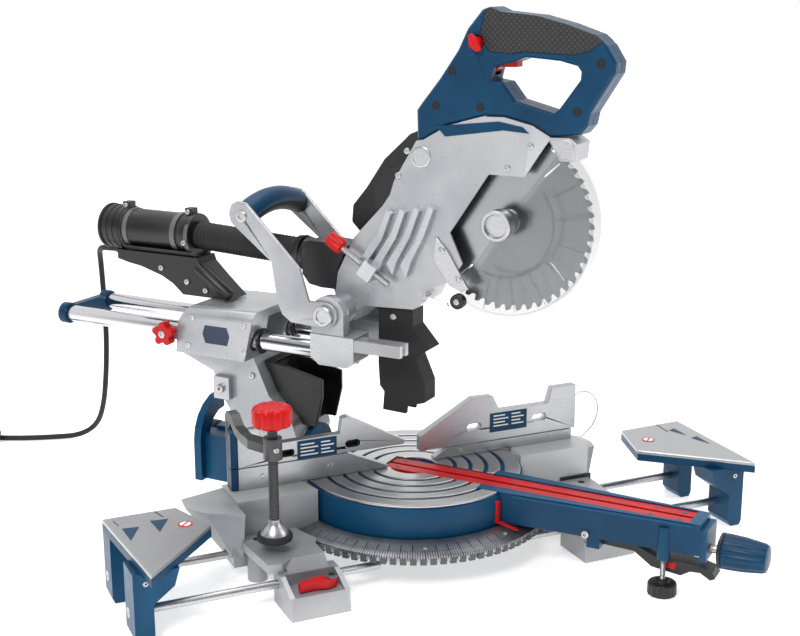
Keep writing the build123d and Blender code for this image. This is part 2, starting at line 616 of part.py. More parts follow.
HANDLE = [(-14, 514), (-13, 549), (-19, 557), (-43, 587), (-66, 620), (-77.5, 644), (-96, 666), (-106, 669), (-118, 664), (-162.5, 660), (-199, 651),
          (-232, 640), (-245.5, 629), (-257, 611), (-256, 598.5), (-229, 554.5), (-226, 540), (-218, 530), (-190, 527), (-183, 526.6), (-161, 538.6),
          (-126, 546.6), (-100, 546.1), (-55, 533.6), (-22, 514.6)]
HOLE = [(-107.5, 587), (-111, 601.5), (-138, 609), (-150, 614), (-191, 611), (-212, 606), (-216.5, 600), (-216, 591), (-192, 558), (-186, 553), (-139, 565), (-123, 585)]
GRIP = [(-101, 671), (-118, 672), (-164, 668), (-201, 659), (-234, 648), (-246, 636), (-226, 622), (-205, 617.5), (-150, 620), (-131, 617), (-106, 619), (-92, 634)]
for name, u0, u1 in (("left", -20.0, 0.0), ("right", 0.0, 20.0)):
    with BuildPart() as shell:
        with BuildSketch(side(u0)) as outline:
            with BuildLine():
                Polyline(*HANDLE, close=True)
            make_face()
            with BuildLine():
                Polyline(*HOLE, close=True)
            make_face(mode=Mode.SUBTRACT)
        extrude(outline.sketch, amount=u1 - u0)
        edge = shell.edges().filter_by(lambda e: abs(e.center().X - (u0 if u0 < 0 else u1)) < 0.01)
        chamfer(edge, 3.0)
        # inside space for the switch and wiring
        slab(side(-16 if u0 < 0 else 0.0), [(-22, 540), (-30, 560), (-60, 600), (-84, 640), (-98, 655), (-103, 655), (-101, 600), (-100, 582), (-120, 560), (-60, 545)], 16, mode=Mode.SUBTRACT)
        # the rubber grip wraps a narrower core
        slab(side(-21 if u0 < 0 else 15.0), GRIP, 6, mode=Mode.SUBTRACT)
        # trigger and lock button pockets
        slab(side(-8.3 if u0 < 0 else 0.0), [(-97, 590), (-97, 625), (-140, 625), (-140, 600)], 8.3, mode=Mode.SUBTRACT)
        if u0 < 0:
            rod((-26, -90, 629), (-1, -90, 629), 8.3, mode=Mode.SUBTRACT)
    save(f"handle_shell_{name}", shell, True)

with BuildPart() as grip_overmould:
    with BuildSketch(side(-19)) as outer:
        with BuildLine():
            Polyline(*HANDLE, close=True)
        make_face()
        with BuildLine():
            Polyline(*HOLE, close=True)
        make_face(mode=Mode.SUBTRACT)
        with BuildLine():
            Polyline(*GRIP, close=True)
        make_face(mode=Mode.INTERSECT)
    extrude(outer.sketch, amount=38)
    block((-15, 15), (-300, 0), (500, 700), mode=Mode.SUBTRACT)
    rod((-26, -90, 629), (26, -90, 629), 8.6, mode=Mode.SUBTRACT)
save("grip_overmould", grip_overmould, True)

with BuildPart() as trigger:
    slab(side(-8), [(-106, 621), (-136, 621), (-136, 602), (-114, 601.5), (-107, 595.5), (-100, 596)], 16)
save("trigger", trigger, True)

with BuildPart() as lock_off_button:
    rod((-23.5, -90, 629), (-6, -90, 629), 8.0)
save("lock_off_button", lock_off_button, True)

with BuildPart() as gear_cover:
    # belt casing from the blade spindle back to the motor
    with BuildSketch(side(21.6)) as gc:
        with Locations(BLADE_C):
            Circle(34)
        with Locations((18, 430)):
            Circle(48)
        with BuildLine():
            Polyline((-125, 455.7), (12, 478), (12, 382), (-125, 387.7), close=True)
        make_face()
    extrude(gc.sketch, amount=26)
    with BuildSketch(side(25.0)) as gi:
        with Locations(BLADE_C):
            Circle(28)
        with Locations((18, 430)):
            Circle(42)
        with BuildLine():
            Polyline((-125, 449.7), (12, 472), (12, 388), (-125, 393.7), close=True)
        make_face()
    extrude(gi.sketch, amount=19, mode=Mode.SUBTRACT)
    rod((10, *BLADE_C), (30, *BLADE_C), 10.5, mode=Mode.SUBTRACT)
    rod((40, 18, 430), (60, 18, 430), 9.5, mode=Mode.SUBTRACT)
save("gear_cover", gear_cover, True)

with BuildPart() as motor_housing:
    # motor casing on the far side, leaning back with the handle
    with BuildSketch(side(48.0)) as mh:
        with BuildLine():
            Polyline((14, 518), (29, 512), (66, 478), (92, 440), (112, 416), (114, 394), (92, 372), (60, 362), (10, 366), (-34, 392), (-48, 440), (-30, 496), close=True)
        make_face()
        fillet(mh.vertices(), 5)
    extrude(mh.sketch, amount=82)
    fillet(motor_housing.edges().filter_by(lambda e: abs(e.center().X - 130) < 0.01), 8)
    with BuildSketch(side(51.0)) as mi:
        with Locations((18, 430)):
            Circle(44)
    extrude(mi.sketch, amount=72, mode=Mode.SUBTRACT)
    rod((40, 18, 430), (60, 18, 430), 9.5, mode=Mode.SUBTRACT)
save("motor_housing", motor_housing, True)

with BuildPart() as motor_rotor:
    rod((62, 18, 430), (112, 18, 430), 26)
    rod((27, 18, 430), (120, 18, 430), 6)
    rod((29, 18, 430), (42, 18, 430), 16)
save("motor_rotor", motor_rotor, True)

with BuildPart() as dust_deflector:
    # rubber chute that hangs behind the blade
    slab(side(-15), [(41, 302), (-7, 305.5), (-7, 282), (-30, 256), (-10, 243), (-24, 211), (-24, 186), (1, 178), (2, 168), (36, 169), (34, 193), (40, 200), (42, 230)], 30)
    slab(side(-11), [(30, 310), (0, 310), (0, 284), (-10, 262), (2, 244), (-14, 206), (-14, 160), (28, 160), (26, 196), (32, 206), (32, 232)], 22, mode=Mode.SUBTRACT)
save("dust_deflector", dust_deflector, True)

with BuildPart() as dust_port:
    slab(side(-18), [(101, 319), (99, 343), (84, 376), (112, 378), (140, 378), (150, 374), (150, 334), (140, 322), (122, 319)], 40)
    rod((4, 150, 355), (4, 158, 357), 22)
    # mouth of the hose stub
    rod((4, 156, 356.7), (4, 170, 357.5), 19.5, mode=Mode.SUBTRACT)
save("dust_port", dust_port, True)

# ---------------------------------------------------------------- blade
with BuildPart() as saw_blade:
    teeth = []
    N = 48
    for k in range(N):
        a = 2 * math.pi * k / N
        step = 2 * math.pi / N
        for rr, f in ((BLADE_R, 0.0), (BLADE_R - 7.5, 0.12), (BLADE_R - 7.0, 0.42), (BLADE_R - 1.6, 0.66), (BLADE_R - 0.6, 0.93)):
            teeth.append((BLADE_C[0] + rr * math.cos(a + f * step), BLADE_C[1] + rr * math.sin(a + f * step)))
    with BuildSketch(side(-BLADE_T / 2)) as disc:
        with BuildLine():
            Polyline(*teeth, close=True)
        make_face()
        with Locations(BLADE_C):
            Circle(8, mode=Mode.SUBTRACT)
            with PolarLocations(84, 4, start_angle=40):
                SlotOverall(26, 2.2, rotation=8, mode=Mode.SUBTRACT)
    extrude(disc.sketch, amount=BLADE_T)
save("saw_blade", saw_blade, True)

with BuildPart() as blade_arbor:
    rod((-12, *BLADE_C), (43.6, *BLADE_C), 8)
    rod((-4.4, *BLADE_C), (-1.2, *BLADE_C), 15)
    rod((1.2, *BLADE_C), (5, *BLADE_C), 17)
    rod((27, *BLADE_C), (42, *BLADE_C), 22)
    with BuildSketch(side(-10)) as bolt:
        with Locations(BLADE_C):
            RegularPolygon(9.5, 6)
    extrude(bolt.sketch, amount=5.6)
    rod((1.2, *BLADE_C), (-1.2, *BLADE_C), 8.0)
save("blade_arbor", blade_arbor, True)

# ---------------------------------------------------------------- lower guard
def sector(r, a0, a1, n=24):
    pts = [BLADE_C]
    for i in range(n + 1):
        a = math.radians(a0 + (a1 - a0) * i / n)
        pts.append((BLADE_C[0] + r * math.cos(a), BLADE_C[1] + r * math.sin(a)))
    return pts


with BuildPart() as lower_guard:
    with BuildSketch(side(-17)) as ring:
        with Locations(BLADE_C):
            Circle(GUARD_R)
            Circle(18, mode=Mode.SUBTRACT)
        with BuildLine():
            Polyline(*sector(140, 128, 304), close=True)
        make_face(mode=Mode.INTERSECT)
    extrude(ring.sketch, amount=34)
    with BuildSketch(side(-14.6)) as hollow:
        with Locations(BLADE_C):
            Circle(GUARD_R - 2.6)
    extrude(hollow.sketch, amount=29.2, mode=Mode.SUBTRACT)
    # the far cheek stays clear of the spindle
    rod((14, *BLADE_C), (20, *BLADE_C), 26, mode=Mode.SUBTRACT)
    # hub on the near side
    rod((-36, *BLADE_C), (-14.6, *BLADE_C), 18)
    rod((-40, *BLADE_C), (-10, *BLADE_C), 12.5, mode=Mode.SUBTRACT)
    # roller at the tail
    rod((-26, -72, 323.6), (-17, -72, 323.6), 9)
save("lower_guard", lower_guard, True)

# ---------------------------------------------------------------- dust hose
HOSE_A = (0.0, 320.8, 366.0)
HOSE_M = tuple((p + q) / 2 for p, q in zip(HOSE_A, HOSE_B))
with BuildPart() as dust_hose_rear:
    rod(HOSE_A, HOSE_M, HOSE_R)
save("dust_hose_rear", dust_hose_rear, True)

with BuildPart() as dust_hose_front:
    rod(HOSE_M, HOSE_B, HOSE_R)
save("dust_hose_front", dust_hose_front, True)

# ---------------------------------------------------------------- supply cord
CORD = [(9, 466, 332), (12, 496, 331), (36, 526, 322), (58, 543, 296), (68, 550, 256), (72, 552, 210), (74, 555, 160), (77, 562, 112),
        (84, 575, 66), (92, 596, 28), (88, 628, 6), (66, 662, 4.2), (42, 696, 4.2), (23, 733, 4.2)]
radii = []
for i in range(1, len(CORD) - 1):
    a, b, c = (Vector(*CORD[j]) for j in (i - 1, i, i + 1))
    turn = math.radians((b - a).get_angle(c - b))
    radii.append(0.45 * min((b - a).length, (c - b).length) / math.tan(turn / 2))
print("cord radii", [round(r, 1) for r in radii])
COIL_C = (-28.0, 761.0)     # the cord meets the outside of the coil at its last point
COIL_R = (34.0, 58.0)
with BuildPart() as supply_cord:
    with BuildLine() as cord_path:
        cord_line = FilletPolyline(*CORD, radius=radii)
    with BuildSketch(Plane(origin=cord_path.line @ 0, z_dir=cord_path.line % 0)) as cord_sec:
        Circle(CORD_R)
    sweep(cord_sec.sketch, path=cord_path.line)
    # stay outside the coil's body and the gland
    with Locations((COIL_C[0], COIL_C[1], 12.2)):
        Cylinder(COIL_R[1], 60, mode=Mode.SUBTRACT)
    rod((9, 440, 332), (9, 470, 332), 9, mode=Mode.SUBTRACT)
print("cord path", round(cord_line.length, 1), "volume", round(supply_cord.part.volume, 1), "expected", round(cord_line.length * math.pi * CORD_R**2, 1))
save("supply_cord", supply_cord, True)

with BuildPart() as cord_coil:
    with BuildSketch(flat(0.2)) as cc:
        with Locations(COIL_C):
            Circle(COIL_R[1])
            Circle(COIL_R[0], mode=Mode.SUBTRACT)
    extrude(cc.sketch, amount=24)
    fillet(cord_coil.edges().filter_by(GeomType.CIRCLE), 7)
save("cord_coil", cord_coil, True)

with BuildPart() as cord_plug:
    # moulded two-pin plug resting beside the coil
    slab(flat(0.3), [(-28 - 11, 821), (-28 + 11, 821), (-28 + 14, 849), (-28 + 14, 871), (-28 - 14, 871), (-28 - 14, 849)], 24)
    fillet(cord_plug.edges().filter_by(Axis.Z), 4)
    rod((-37, 871, 12.3), (-37, 890, 12.3), 2.4)
    rod((-19, 871, 12.3), (-19, 890, 12.3), 2.4)
save("cord_plug", cord_plug, True)
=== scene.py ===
import math

import bmesh
import bpy
from mathutils import Matrix, Vector


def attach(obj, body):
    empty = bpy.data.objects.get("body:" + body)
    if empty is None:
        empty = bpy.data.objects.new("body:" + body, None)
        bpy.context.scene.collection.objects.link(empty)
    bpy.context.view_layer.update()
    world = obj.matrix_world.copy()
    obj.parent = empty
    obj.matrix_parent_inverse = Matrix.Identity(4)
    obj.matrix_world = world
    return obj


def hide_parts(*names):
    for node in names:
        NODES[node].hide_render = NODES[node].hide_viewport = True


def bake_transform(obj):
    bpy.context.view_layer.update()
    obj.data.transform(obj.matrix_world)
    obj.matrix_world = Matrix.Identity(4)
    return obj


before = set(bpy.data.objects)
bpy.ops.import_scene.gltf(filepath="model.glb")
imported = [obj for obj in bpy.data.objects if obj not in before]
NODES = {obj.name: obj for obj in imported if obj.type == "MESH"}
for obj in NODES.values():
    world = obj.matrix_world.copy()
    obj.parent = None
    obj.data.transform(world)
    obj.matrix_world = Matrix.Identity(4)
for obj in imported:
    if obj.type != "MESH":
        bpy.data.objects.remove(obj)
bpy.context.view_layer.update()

# ------------------------------------------------------------------ frames
A38 = math.radians(38.0)
C38, S38 = math.cos(A38), math.sin(A38)
SAW = Matrix.Rotation(A38, 4, "Z")


def W(u, v, z):
    """Saw frame in millimetres to the row frame in metres."""
    return Vector(((u * C38 - v * S38) / 1000, (u * S38 + v * C38) / 1000, z / 1000))


def R(x, y, z):
    return Vector((x / 1000, y / 1000, z / 1000))


NX = Vector((C38, S38, 0))
BK = Vector((-S38, C38, 0))
UP = Vector((0, 0, 1))


# ------------------------------------------------------------------ materials
def new_mat(name):
    m = bpy.data.materials.new(name)
    m.use_nodes = True
    nt = m.node_tree
    nt.nodes.clear()
    out = nt.nodes.new("ShaderNodeOutputMaterial")
    bs = nt.nodes.new("ShaderNodeBsdfPrincipled")
    nt.links.new(bs.outputs[0], out.inputs[0])
    return m, nt, bs


def node(nt, kind, **kw):
    n = nt.nodes.new(kind)
    for k, v in kw.items():
        setattr(n, k, v)
    return n


def coords(nt, scale=(1, 1, 1), rot=(0, 0, 0)):
    tc = node(nt, "ShaderNodeTexCoord")
    mp = node(nt, "ShaderNodeMapping")
    mp.inputs["Scale"].default_value = scale
    mp.inputs["Rotation"].default_value = rot
    nt.links.new(tc.outputs["Object"], mp.inputs["Vector"])
    return mp.outputs["Vector"]


def noise(nt, vec, scale, detail=4.0, rough=0.55):
    n = node(nt, "ShaderNodeTexNoise")
    n.inputs["Scale"].default_value = scale
    n.inputs["Detail"].default_value = detail
    n.inputs["Roughness"].default_value = rough
    nt.links.new(vec, n.inputs["Vector"])
    return n.outputs["Fac"]


def ramp(nt, fac, stops):
    r = node(nt, "ShaderNodeValToRGB")
    el = r.color_ramp.elements
    el[0].position, el[0].color = stops[0][0], (*stops[0][1], 1)
    el[1].position, el[1].color = stops[-1][0], (*stops[-1][1], 1)
    for p, c in stops[1:-1]:
        e = el.new(p)
        e.color = (*c, 1)
    nt.links.new(fac, r.inputs["Fac"])
    return r.outputs["Color"]


def rng(nt, fac, lo, hi, f0=0.0, f1=1.0):
    m = node(nt, "ShaderNodeMapRange")
    m.inputs["From Min"].default_value = f0
    m.inputs["From Max"].default_value = f1
    m.inputs["To Min"].default_value = lo
    m.inputs["To Max"].default_value = hi
    nt.links.new(fac, m.inputs["Value"])
    return m.outputs["Result"]


def bump(nt, bs, height, strength, dist):
    b = node(nt, "ShaderNodeBump")
    b.inputs["Strength"].default_value = strength
    b.inputs["Distance"].default_value = dist
    nt.links.new(height, b.inputs["Height"])
    nt.links.new(b.outputs["Normal"], bs.inputs["Normal"])


def mix(nt, fac, a, b):
    m = node(nt, "ShaderNodeMix", data_type="RGBA")
    nt.links.new(fac, m.inputs[0])
    for s, v in ((6, a), (7, b)):
        if isinstance(v, tuple):
            m.inputs[s].default_value = (*v, 1)
        else:
            nt.links.new(v, m.inputs[s])
    return m.outputs[2]


def edge_wear(nt, lo=0.52, hi=0.6):
    g = node(nt, "ShaderNodeNewGeometry")
    return rng(nt, g.outputs["Pointiness"], 0.0, 1.0, lo, hi)


def painted(name, col, dark, wear, rough=0.35, metal=0.0, coat=0.2, grain=900.0, gstr=0.12, spec=0.5):
    """Painted casting: fine orange peel, soft dirt in broad patches, worn edges."""
    m, nt, bs = new_mat(name)
    vec = coords(nt)
    broad = noise(nt, vec, 14, 5)
    c = ramp(nt, broad, [(0.3, dark), (0.65, col)])
    e = edge_wear(nt)
    c2 = mix(nt, e, c, wear)
    nt.links.new(c2, bs.inputs["Base Color"])
    nt.links.new(rng(nt, noise(nt, vec, 60, 4), rough - 0.07, rough + 0.1), bs.inputs["Roughness"])
    bs.inputs["Metallic"].default_value = metal
    bs.inputs["Coat Weight"].default_value = coat
    bs.inputs["Specular IOR Level"].default_value = spec
    bs.inputs["Coat Roughness"].default_value = 0.25
    bump(nt, bs, noise(nt, vec, grain, 3), gstr, 0.0004)
    return m


def plastic(name, col, col2, rough=0.42, grain=1600.0, gstr=0.2, spec=0.5):
    m, nt, bs = new_mat(name)
    vec = coords(nt)
    c = ramp(nt, noise(nt, vec, 18, 5), [(0.32, col2), (0.68, col)])
    nt.links.new(c, bs.inputs["Base Color"])
    nt.links.new(rng(nt, noise(nt, vec, 90, 5), rough - 0.08, rough + 0.1), bs.inputs["Roughness"])
    bs.inputs["Specular IOR Level"].default_value = spec
    bump(nt, bs, noise(nt, vec, grain, 2), gstr, 0.0002)
    return m


def metal(name, col, col2, rough=0.3, streak=(1, 1, 40), strength=0.15, rot=(0, 0, 0), scale=60.0):
    """Machined or ground metal: long fine streaks in colour, roughness and height."""
    m, nt, bs = new_mat(name)
    vec = coords(nt, streak, rot)
    f = noise(nt, vec, scale, 8, 0.65)
    c = ramp(nt, f, [(0.3, col2), (0.7, col)])
    nt.links.new(c, bs.inputs["Base Color"])
    bs.inputs["Metallic"].default_value = 1.0
    nt.links.new(rng(nt, f, rough - 0.08, rough + 0.14), bs.inputs["Roughness"])
    bump(nt, bs, f, strength, 0.0003)
    return m


GREY = painted("M_cast_grey", (0.34, 0.35, 0.365), (0.25, 0.26, 0.275), (0.55, 0.55, 0.56), rough=0.36, coat=0.15, metal=0.35)
BLUE = painted("M_petrol_paint", (0.0008, 0.047, 0.112), (0.0006, 0.033, 0.083), (0.004, 0.075, 0.17), rough=0.34, coat=0.0, spec=0.22)
BLUEP = plastic("M_petrol_plastic", (0.0008, 0.045, 0.107), (0.0006, 0.032, 0.080), rough=0.34, spec=0.22)
BLACK = plastic("M_black_plastic", (0.010, 0.010, 0.011), (0.006, 0.006, 0.007), rough=0.38)
BLACKS = painted("M_black_steel", (0.02, 0.02, 0.022), (0.012, 0.012, 0.014), (0.12, 0.12, 0.12), rough=0.32, coat=0.0)
RED = plastic("M_red_plastic", (0.56, 0.006, 0.008), (0.44, 0.004, 0.006), rough=0.3, spec=0.25)
RUBBER = plastic("M_rubber", (0.018, 0.018, 0.019), (0.011, 0.011, 0.012), rough=0.62, grain=2400, gstr=0.3, spec=0.35)
CHROME = metal("M_chrome", (0.72, 0.72, 0.74), (0.56, 0.56, 0.59), rough=0.12, streak=(60, 60, 2), strength=0.03)
ALU_X = metal("M_alu_x", (0.56, 0.57, 0.585), (0.36, 0.37, 0.385), rough=0.32, streak=(1.2, 60, 60), strength=0.12)
ALU_TOP = metal("M_alu_top", (0.70, 0.70, 0.71), (0.42, 0.425, 0.44), rough=0.28, streak=(2, 60, 60), strength=0.14, rot=(0, 0, -A38))
ZINC = metal("M_zinc", (0.62, 0.62, 0.63), (0.42, 0.42, 0.43), rough=0.34, streak=(8, 8, 8), strength=0.08)
STEELB = metal("M_blade", (0.42, 0.425, 0.44), (0.24, 0.245, 0.255), rough=0.22, streak=(30, 30, 30), strength=0.05)
BRASS = metal("M_brass", (0.75, 0.55, 0.24), (0.58, 0.4, 0.16), rough=0.3, streak=(20, 20, 20), strength=0.05)
SILVERP = painted("M_silver_paint", (0.40, 0.41, 0.43), (0.30, 0.31, 0.33), (0.58, 0.58, 0.60), rough=0.28, coat=0.25, metal=0.4)
WHITE = plastic("M_white_print", (0.80, 0.80, 0.79), (0.68, 0.68, 0.67), rough=0.45)
DARKBLUE = plastic("M_dark_blue", (0.010, 0.035, 0.08), (0.006, 0.022, 0.055), rough=0.4)
# near-black material for painted shade inside holes, slots, vents and screw wells
SHADE_M = plastic("M_painted_recess_shade", (0.006, 0.006, 0.007), (0.003, 0.003, 0.004), rough=0.7)


def smoked(name):
    m, nt, bs = new_mat(name)
    vec = coords(nt)
    f = noise(nt, vec, 24, 5)
    c = ramp(nt, f, [(0.3, (0.05, 0.055, 0.06)), (0.7, (0.09, 0.095, 0.105))])
    nt.links.new(c, bs.inputs["Base Color"])
    nt.links.new(rng(nt, f, 0.16, 0.3), bs.inputs["Roughness"])
    bs.inputs["Transmission Weight"].default_value = 0.0
    bs.inputs["IOR"].default_value = 1.45
    bs.inputs["Alpha"].default_value = 0.13
    bump(nt, bs, noise(nt, vec, 200, 3), 0.05, 0.0003)
    return m


SMOKE = smoked("M_smoked_guard")


def diamond_rubber(name):
    """Soft grip: crossed fine ridges."""
    m, nt, bs = new_mat(name)
    vec = coords(nt, (1, 1, 1), (0, 0, -A38))
    a = node(nt, "ShaderNodeTexWave", wave_type="BANDS", bands_direction="DIAGONAL")
    a.inputs["Scale"].default_value = 95
    nt.links.new(vec, a.inputs["Vector"])
    mp = node(nt, "ShaderNodeMapping")
    mp.inputs["Scale"].default_value = (1, -1, 1)
    nt.links.new(vec, mp.inputs["Vector"])
    b = node(nt, "ShaderNodeTexWave", wave_type="BANDS", bands_direction="DIAGONAL")
    b.inputs["Scale"].default_value = 95
    nt.links.new(mp.outputs["Vector"], b.inputs["Vector"])
    mx = node(nt, "ShaderNodeMath", operation="MULTIPLY")
    nt.links.new(a.outputs["Fac"], mx.inputs[0])
    nt.links.new(b.outputs["Fac"], mx.inputs[1])
    # colour follows the ridge height: painted shade in the grooves, lighter crests
    c = ramp(nt, mx.outputs[0], [(0.1, (0.010, 0.010, 0.011)), (0.9, (0.035, 0.035, 0.037))])
    nt.links.new(c, bs.inputs["Base Color"])
    bs.inputs["Roughness"].default_value = 0.6
    bump(nt, bs, mx.outputs[0], 0.6, 0.0008)
    return m


GRIPM = diamond_rubber("M_grip_rubber")


def scale_mat(name):
    """Mitre scale: brushed ring with degree lines."""
    m, nt, bs = new_mat(name)
    tc = node(nt, "ShaderNodeTexCoord")
    sep = node(nt, "ShaderNodeSeparateXYZ")
    nt.links.new(tc.outputs["Object"], sep.inputs[0])
    at = node(nt, "ShaderNodeMath", operation="ARCTAN2")
    nt.links.new(sep.outputs["Y"], at.inputs[0])
    nt.links.new(sep.outputs["X"], at.inputs[1])
    mul = node(nt, "ShaderNodeMath", operation="MULTIPLY")
    mul.inputs[1].default_value = 180.0 / math.pi
    nt.links.new(at.outputs[0], mul.inputs[0])
    r2 = node(nt, "ShaderNodeVectorMath", operation="LENGTH")
    nt.links.new(tc.outputs["Object"], r2.inputs[0])

    def lines(step, width, r_from):
        md = node(nt, "ShaderNodeMath", operation="PINGPONG")
        md.inputs[1].default_value = step / 2
        nt.links.new(mul.outputs[0], md.inputs[0])
        lt = node(nt, "ShaderNodeMath", operation="LESS_THAN")
        lt.inputs[1].default_value = width
        nt.links.new(md.outputs[0], lt.inputs[0])
        gt = node(nt, "ShaderNodeMath", operation="GREATER_THAN")
        gt.inputs[1].default_value = r_from
        nt.links.new(r2.outputs["Value"], gt.inputs[0])
        a = node(nt, "ShaderNodeMath", operation="MULTIPLY")
        nt.links.new(lt.outputs[0], a.inputs[0])
        nt.links.new(gt.outputs[0], a.inputs[1])
        return a.outputs[0]

    l1, l2 = lines(1.0, 0.13, 0.1705), lines(5.0, 0.2, 0.162)
    mx = node(nt, "ShaderNodeMath", operation="MAXIMUM")
    nt.links.new(l1, mx.inputs[0])
    nt.links.new(l2, mx.inputs[1])
    vec = coords(nt)
    base = ramp(nt, noise(nt, vec, 80, 6), [(0.3, (0.20, 0.21, 0.225)), (0.7, (0.30, 0.31, 0.325))])
    nt.links.new(mix(nt, mx.outputs[0], base, (0.02, 0.02, 0.03)), bs.inputs["Base Color"])
    bs.inputs["Metallic"].default_value = 0.85
    bs.inputs["Roughness"].default_value = 0.34
    return m


SCALE_M = scale_mat("M_mitre_scale")

MATS = {
    "base_casting": GREY, "scale_ring": SCALE_M, "fence_lower_left": ALU_X, "fence_lower_right": ALU_X, "base_feet": RUBBER,
    "clamp_post": BLACKS, "support_left_table": ALU_X, "support_left_legs": BLUE, "support_left_rods": ZINC,
    "support_right_table": ALU_X, "support_right_legs": BLUE, "support_right_rods": ZINC,
    "support_lever_left": RED, "support_lever_right": RED, "fence_upper_left": ALU_X, "fence_upper_right": ALU_X, "tether_wire": ZINC,
    "turntable_drum": BLUE, "table_arcs": ALU_TOP, "kerf_inserts": RED, "table_arm": BLUE, "arm_foot": BLACK,
    "mitre_lock_knob": BLUEP, "detent_lever": BLACK, "bevel_scale": BLUE, "tilt_arm_casting": SILVERP, "linear_bearings": BRASS,
    "slide_lock_knob": RED, "bevel_lock_lever": BLACK, "duct_bracket": BLACK, "dust_tube": BLACK, "dust_scoop": BLACK,
    "slide_rails": CHROME, "rail_end_cap": BLUEP, "front_carrier": SILVERP, "pivot_shaft": ZINC, "carry_handle_plates": SILVERP,
    "carry_grip": BLUEP, "return_spring": ZINC, "upper_guard": SILVERP, "depth_stop": ZINC, "handle_shell_left": BLUEP,
    "handle_shell_right": BLUEP, "grip_overmould": GRIPM, "trigger": RED, "lock_off_button": RED, "gear_cover": BLACK,
    "motor_housing": BLACK, "motor_rotor": ZINC, "dust_deflector": RUBBER, "dust_port": BLACK, "saw_blade": STEELB, "blade_arbor": ZINC,
    "lower_guard": SMOKE, "cord_plug": RUBBER, "clamp_screw": BLACK,
}
for n, m in MATS.items():
    o = NODES[n]
    if not o.data.materials:
        o.data.materials.append(m)
    for i in range(len(o.material_slots)):
        o.material_slots[i].link = "DATA"
        o.material_slots[i].material = m

# soft machined edges and smooth round faces on the CAD pieces
NO_BEVEL = {"saw_blade", "supply_cord", "cord_coil", "dust_hose_rear", "dust_hose_front", "tether_wire", "lower_guard"}
for n, o in NODES.items():
    if n in NO_BEVEL:
        continue
    w = o.modifiers.new("weld", "WELD")
    w.merge_threshold = 0.00002
    b = o.modifiers.new("edge", "BEVEL")
    b.width = 0.0011 if n not in ("kerf_inserts", "scale_ring", "blade_arbor", "trigger") else 0.0004
    b.segments = 2
    b.limit_method = "ANGLE"
    b.angle_limit = math.radians(34)
    b.use_clamp_overlap = True
    b.harden_normals = False


# ------------------------------------------------------------------ mesh helpers
def finish_mesh(bm, name, mat, body, bevel=0.0, smooth=35.0, subsurf=0):
    me = bpy.data.meshes.new(name)
    bmesh.ops.recalc_face_normals(bm, faces=bm.faces)
    for f in bm.faces:
        f.smooth = True
    for e in bm.edges:
        if len(e.link_faces) == 2 and e.calc_face_angle(0) > math.radians(smooth):
            e.smooth = False
    bm.to_mesh(me)
    bm.free()
    o = bpy.data.objects.new(name, me)
    bpy.context.scene.collection.objects.link(o)
    me.materials.append(mat)
    if bevel:
        b = o.modifiers.new("edge", "BEVEL")
        b.width = bevel
        b.segments = 2
        b.limit_method = "ANGLE"
        b.angle_limit = math.radians(30)
    if subsurf:
        s = o.modifiers.new("sub", "SUBSURF")
        s.levels = s.render_levels = subsurf
    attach(o, body)
    return o


def basis(axis, up=UP):
    a = axis.normalized()
    if abs(a.dot(up)) > 0.98:
        up = Vector((1, 0, 0))
    x = up.cross(a).normalized()
    y = a.cross(x).normalized()
    return x, y, a


def lathe(name, origin, axis, prof, mat, body, seg=48, flute=None, bevel=0.0, smooth=35.0):
    """prof: list of (distance along the axis, radius) in mm. flute = (count, depth mm, from, to)."""
    x, y, a = basis(axis)
    bm = bmesh.new()
    rings = []
    for d, r in prof:
        ring = []
        for i in range(seg):
            t = 2 * math.pi * i / seg
            rr = r
            if flute and flute[2] <= d <= flute[3] and r > 0.1:
                rr = r - flute[1] * (0.5 - 0.5 * math.cos(t * flute[0])) ** 3
            ring.append(bm.verts.new(origin + a * (d / 1000) + (x * math.cos(t) + y * math.sin(t)) * (max(rr, 0.02) / 1000)))
        rings.append(ring)
    for r0, r1 in zip(rings, rings[1:]):
        for i in range(seg):
            j = (i + 1) % seg
            bm.faces.new((r0[i], r0[j], r1[j], r1[i]))
    if prof[0][0] == prof[-1][0] and min(prof[0][1], prof[-1][1]) > 0.2 and abs(prof[0][1] - prof[-1][1]) > 0.3:
        # the outline comes back to its start plane, so this is an open ring
        for i in range(seg):
            j = (i + 1) % seg
            bm.faces.new((rings[-1][i], rings[-1][j], rings[0][j], rings[0][i]))
    else:
        bm.faces.new(rings[0][::-1])
        bm.faces.new(rings[-1])
    return finish_mesh(bm, name, mat, body, bevel=bevel, smooth=smooth)


def prism(name, pts, direction, mat, body, bevel=0.0006):
    """pts: outline as row-frame vectors; drawn out along direction (a vector in metres)."""
    bm = bmesh.new()
    lo = [bm.verts.new(p) for p in pts]
    hi = [bm.verts.new(p + direction) for p in pts]
    bm.faces.new(lo[::-1])
    bm.faces.new(hi)
    n = len(pts)
    for i in range(n):
        j = (i + 1) % n
        bm.faces.new((lo[i], lo[j], hi[j], hi[i]))
    return finish_mesh(bm, name, mat, body, bevel=bevel)


def side_plate(name, u, t, vz, mat, body, bevel=0.0006):
    """Outline (v, z) in the saw frame at u, thickness t to +u (mm)."""
    return prism(name, [W(u, v, z) for v, z in vz], NX * (t / 1000), mat, body, bevel)


def screw(name, p, axis, r, h, body, mat=ZINC, recess=True):
    """A domed cap screw with a hex socket."""
    prof = [(0, r), (h * 0.55, r), (h * 0.9, r * 0.86), (h, r * 0.62), (h, r * 0.42)]
    if recess:
        prof += [(h * 0.35, r * 0.40), (h * 0.3, 0.02)]
    else:
        prof += [(h * 1.05, 0.02)]
    return lathe(name, p, axis, prof, mat, body, seg=24)


def arc_pts(c, r, a0, a1, n):
    return [(c[0] + r * math.cos(math.radians(a0 + (a1 - a0) * i / n)), c[1] + r * math.sin(math.radians(a0 + (a1 - a0) * i / n))) for i in range(n + 1)]


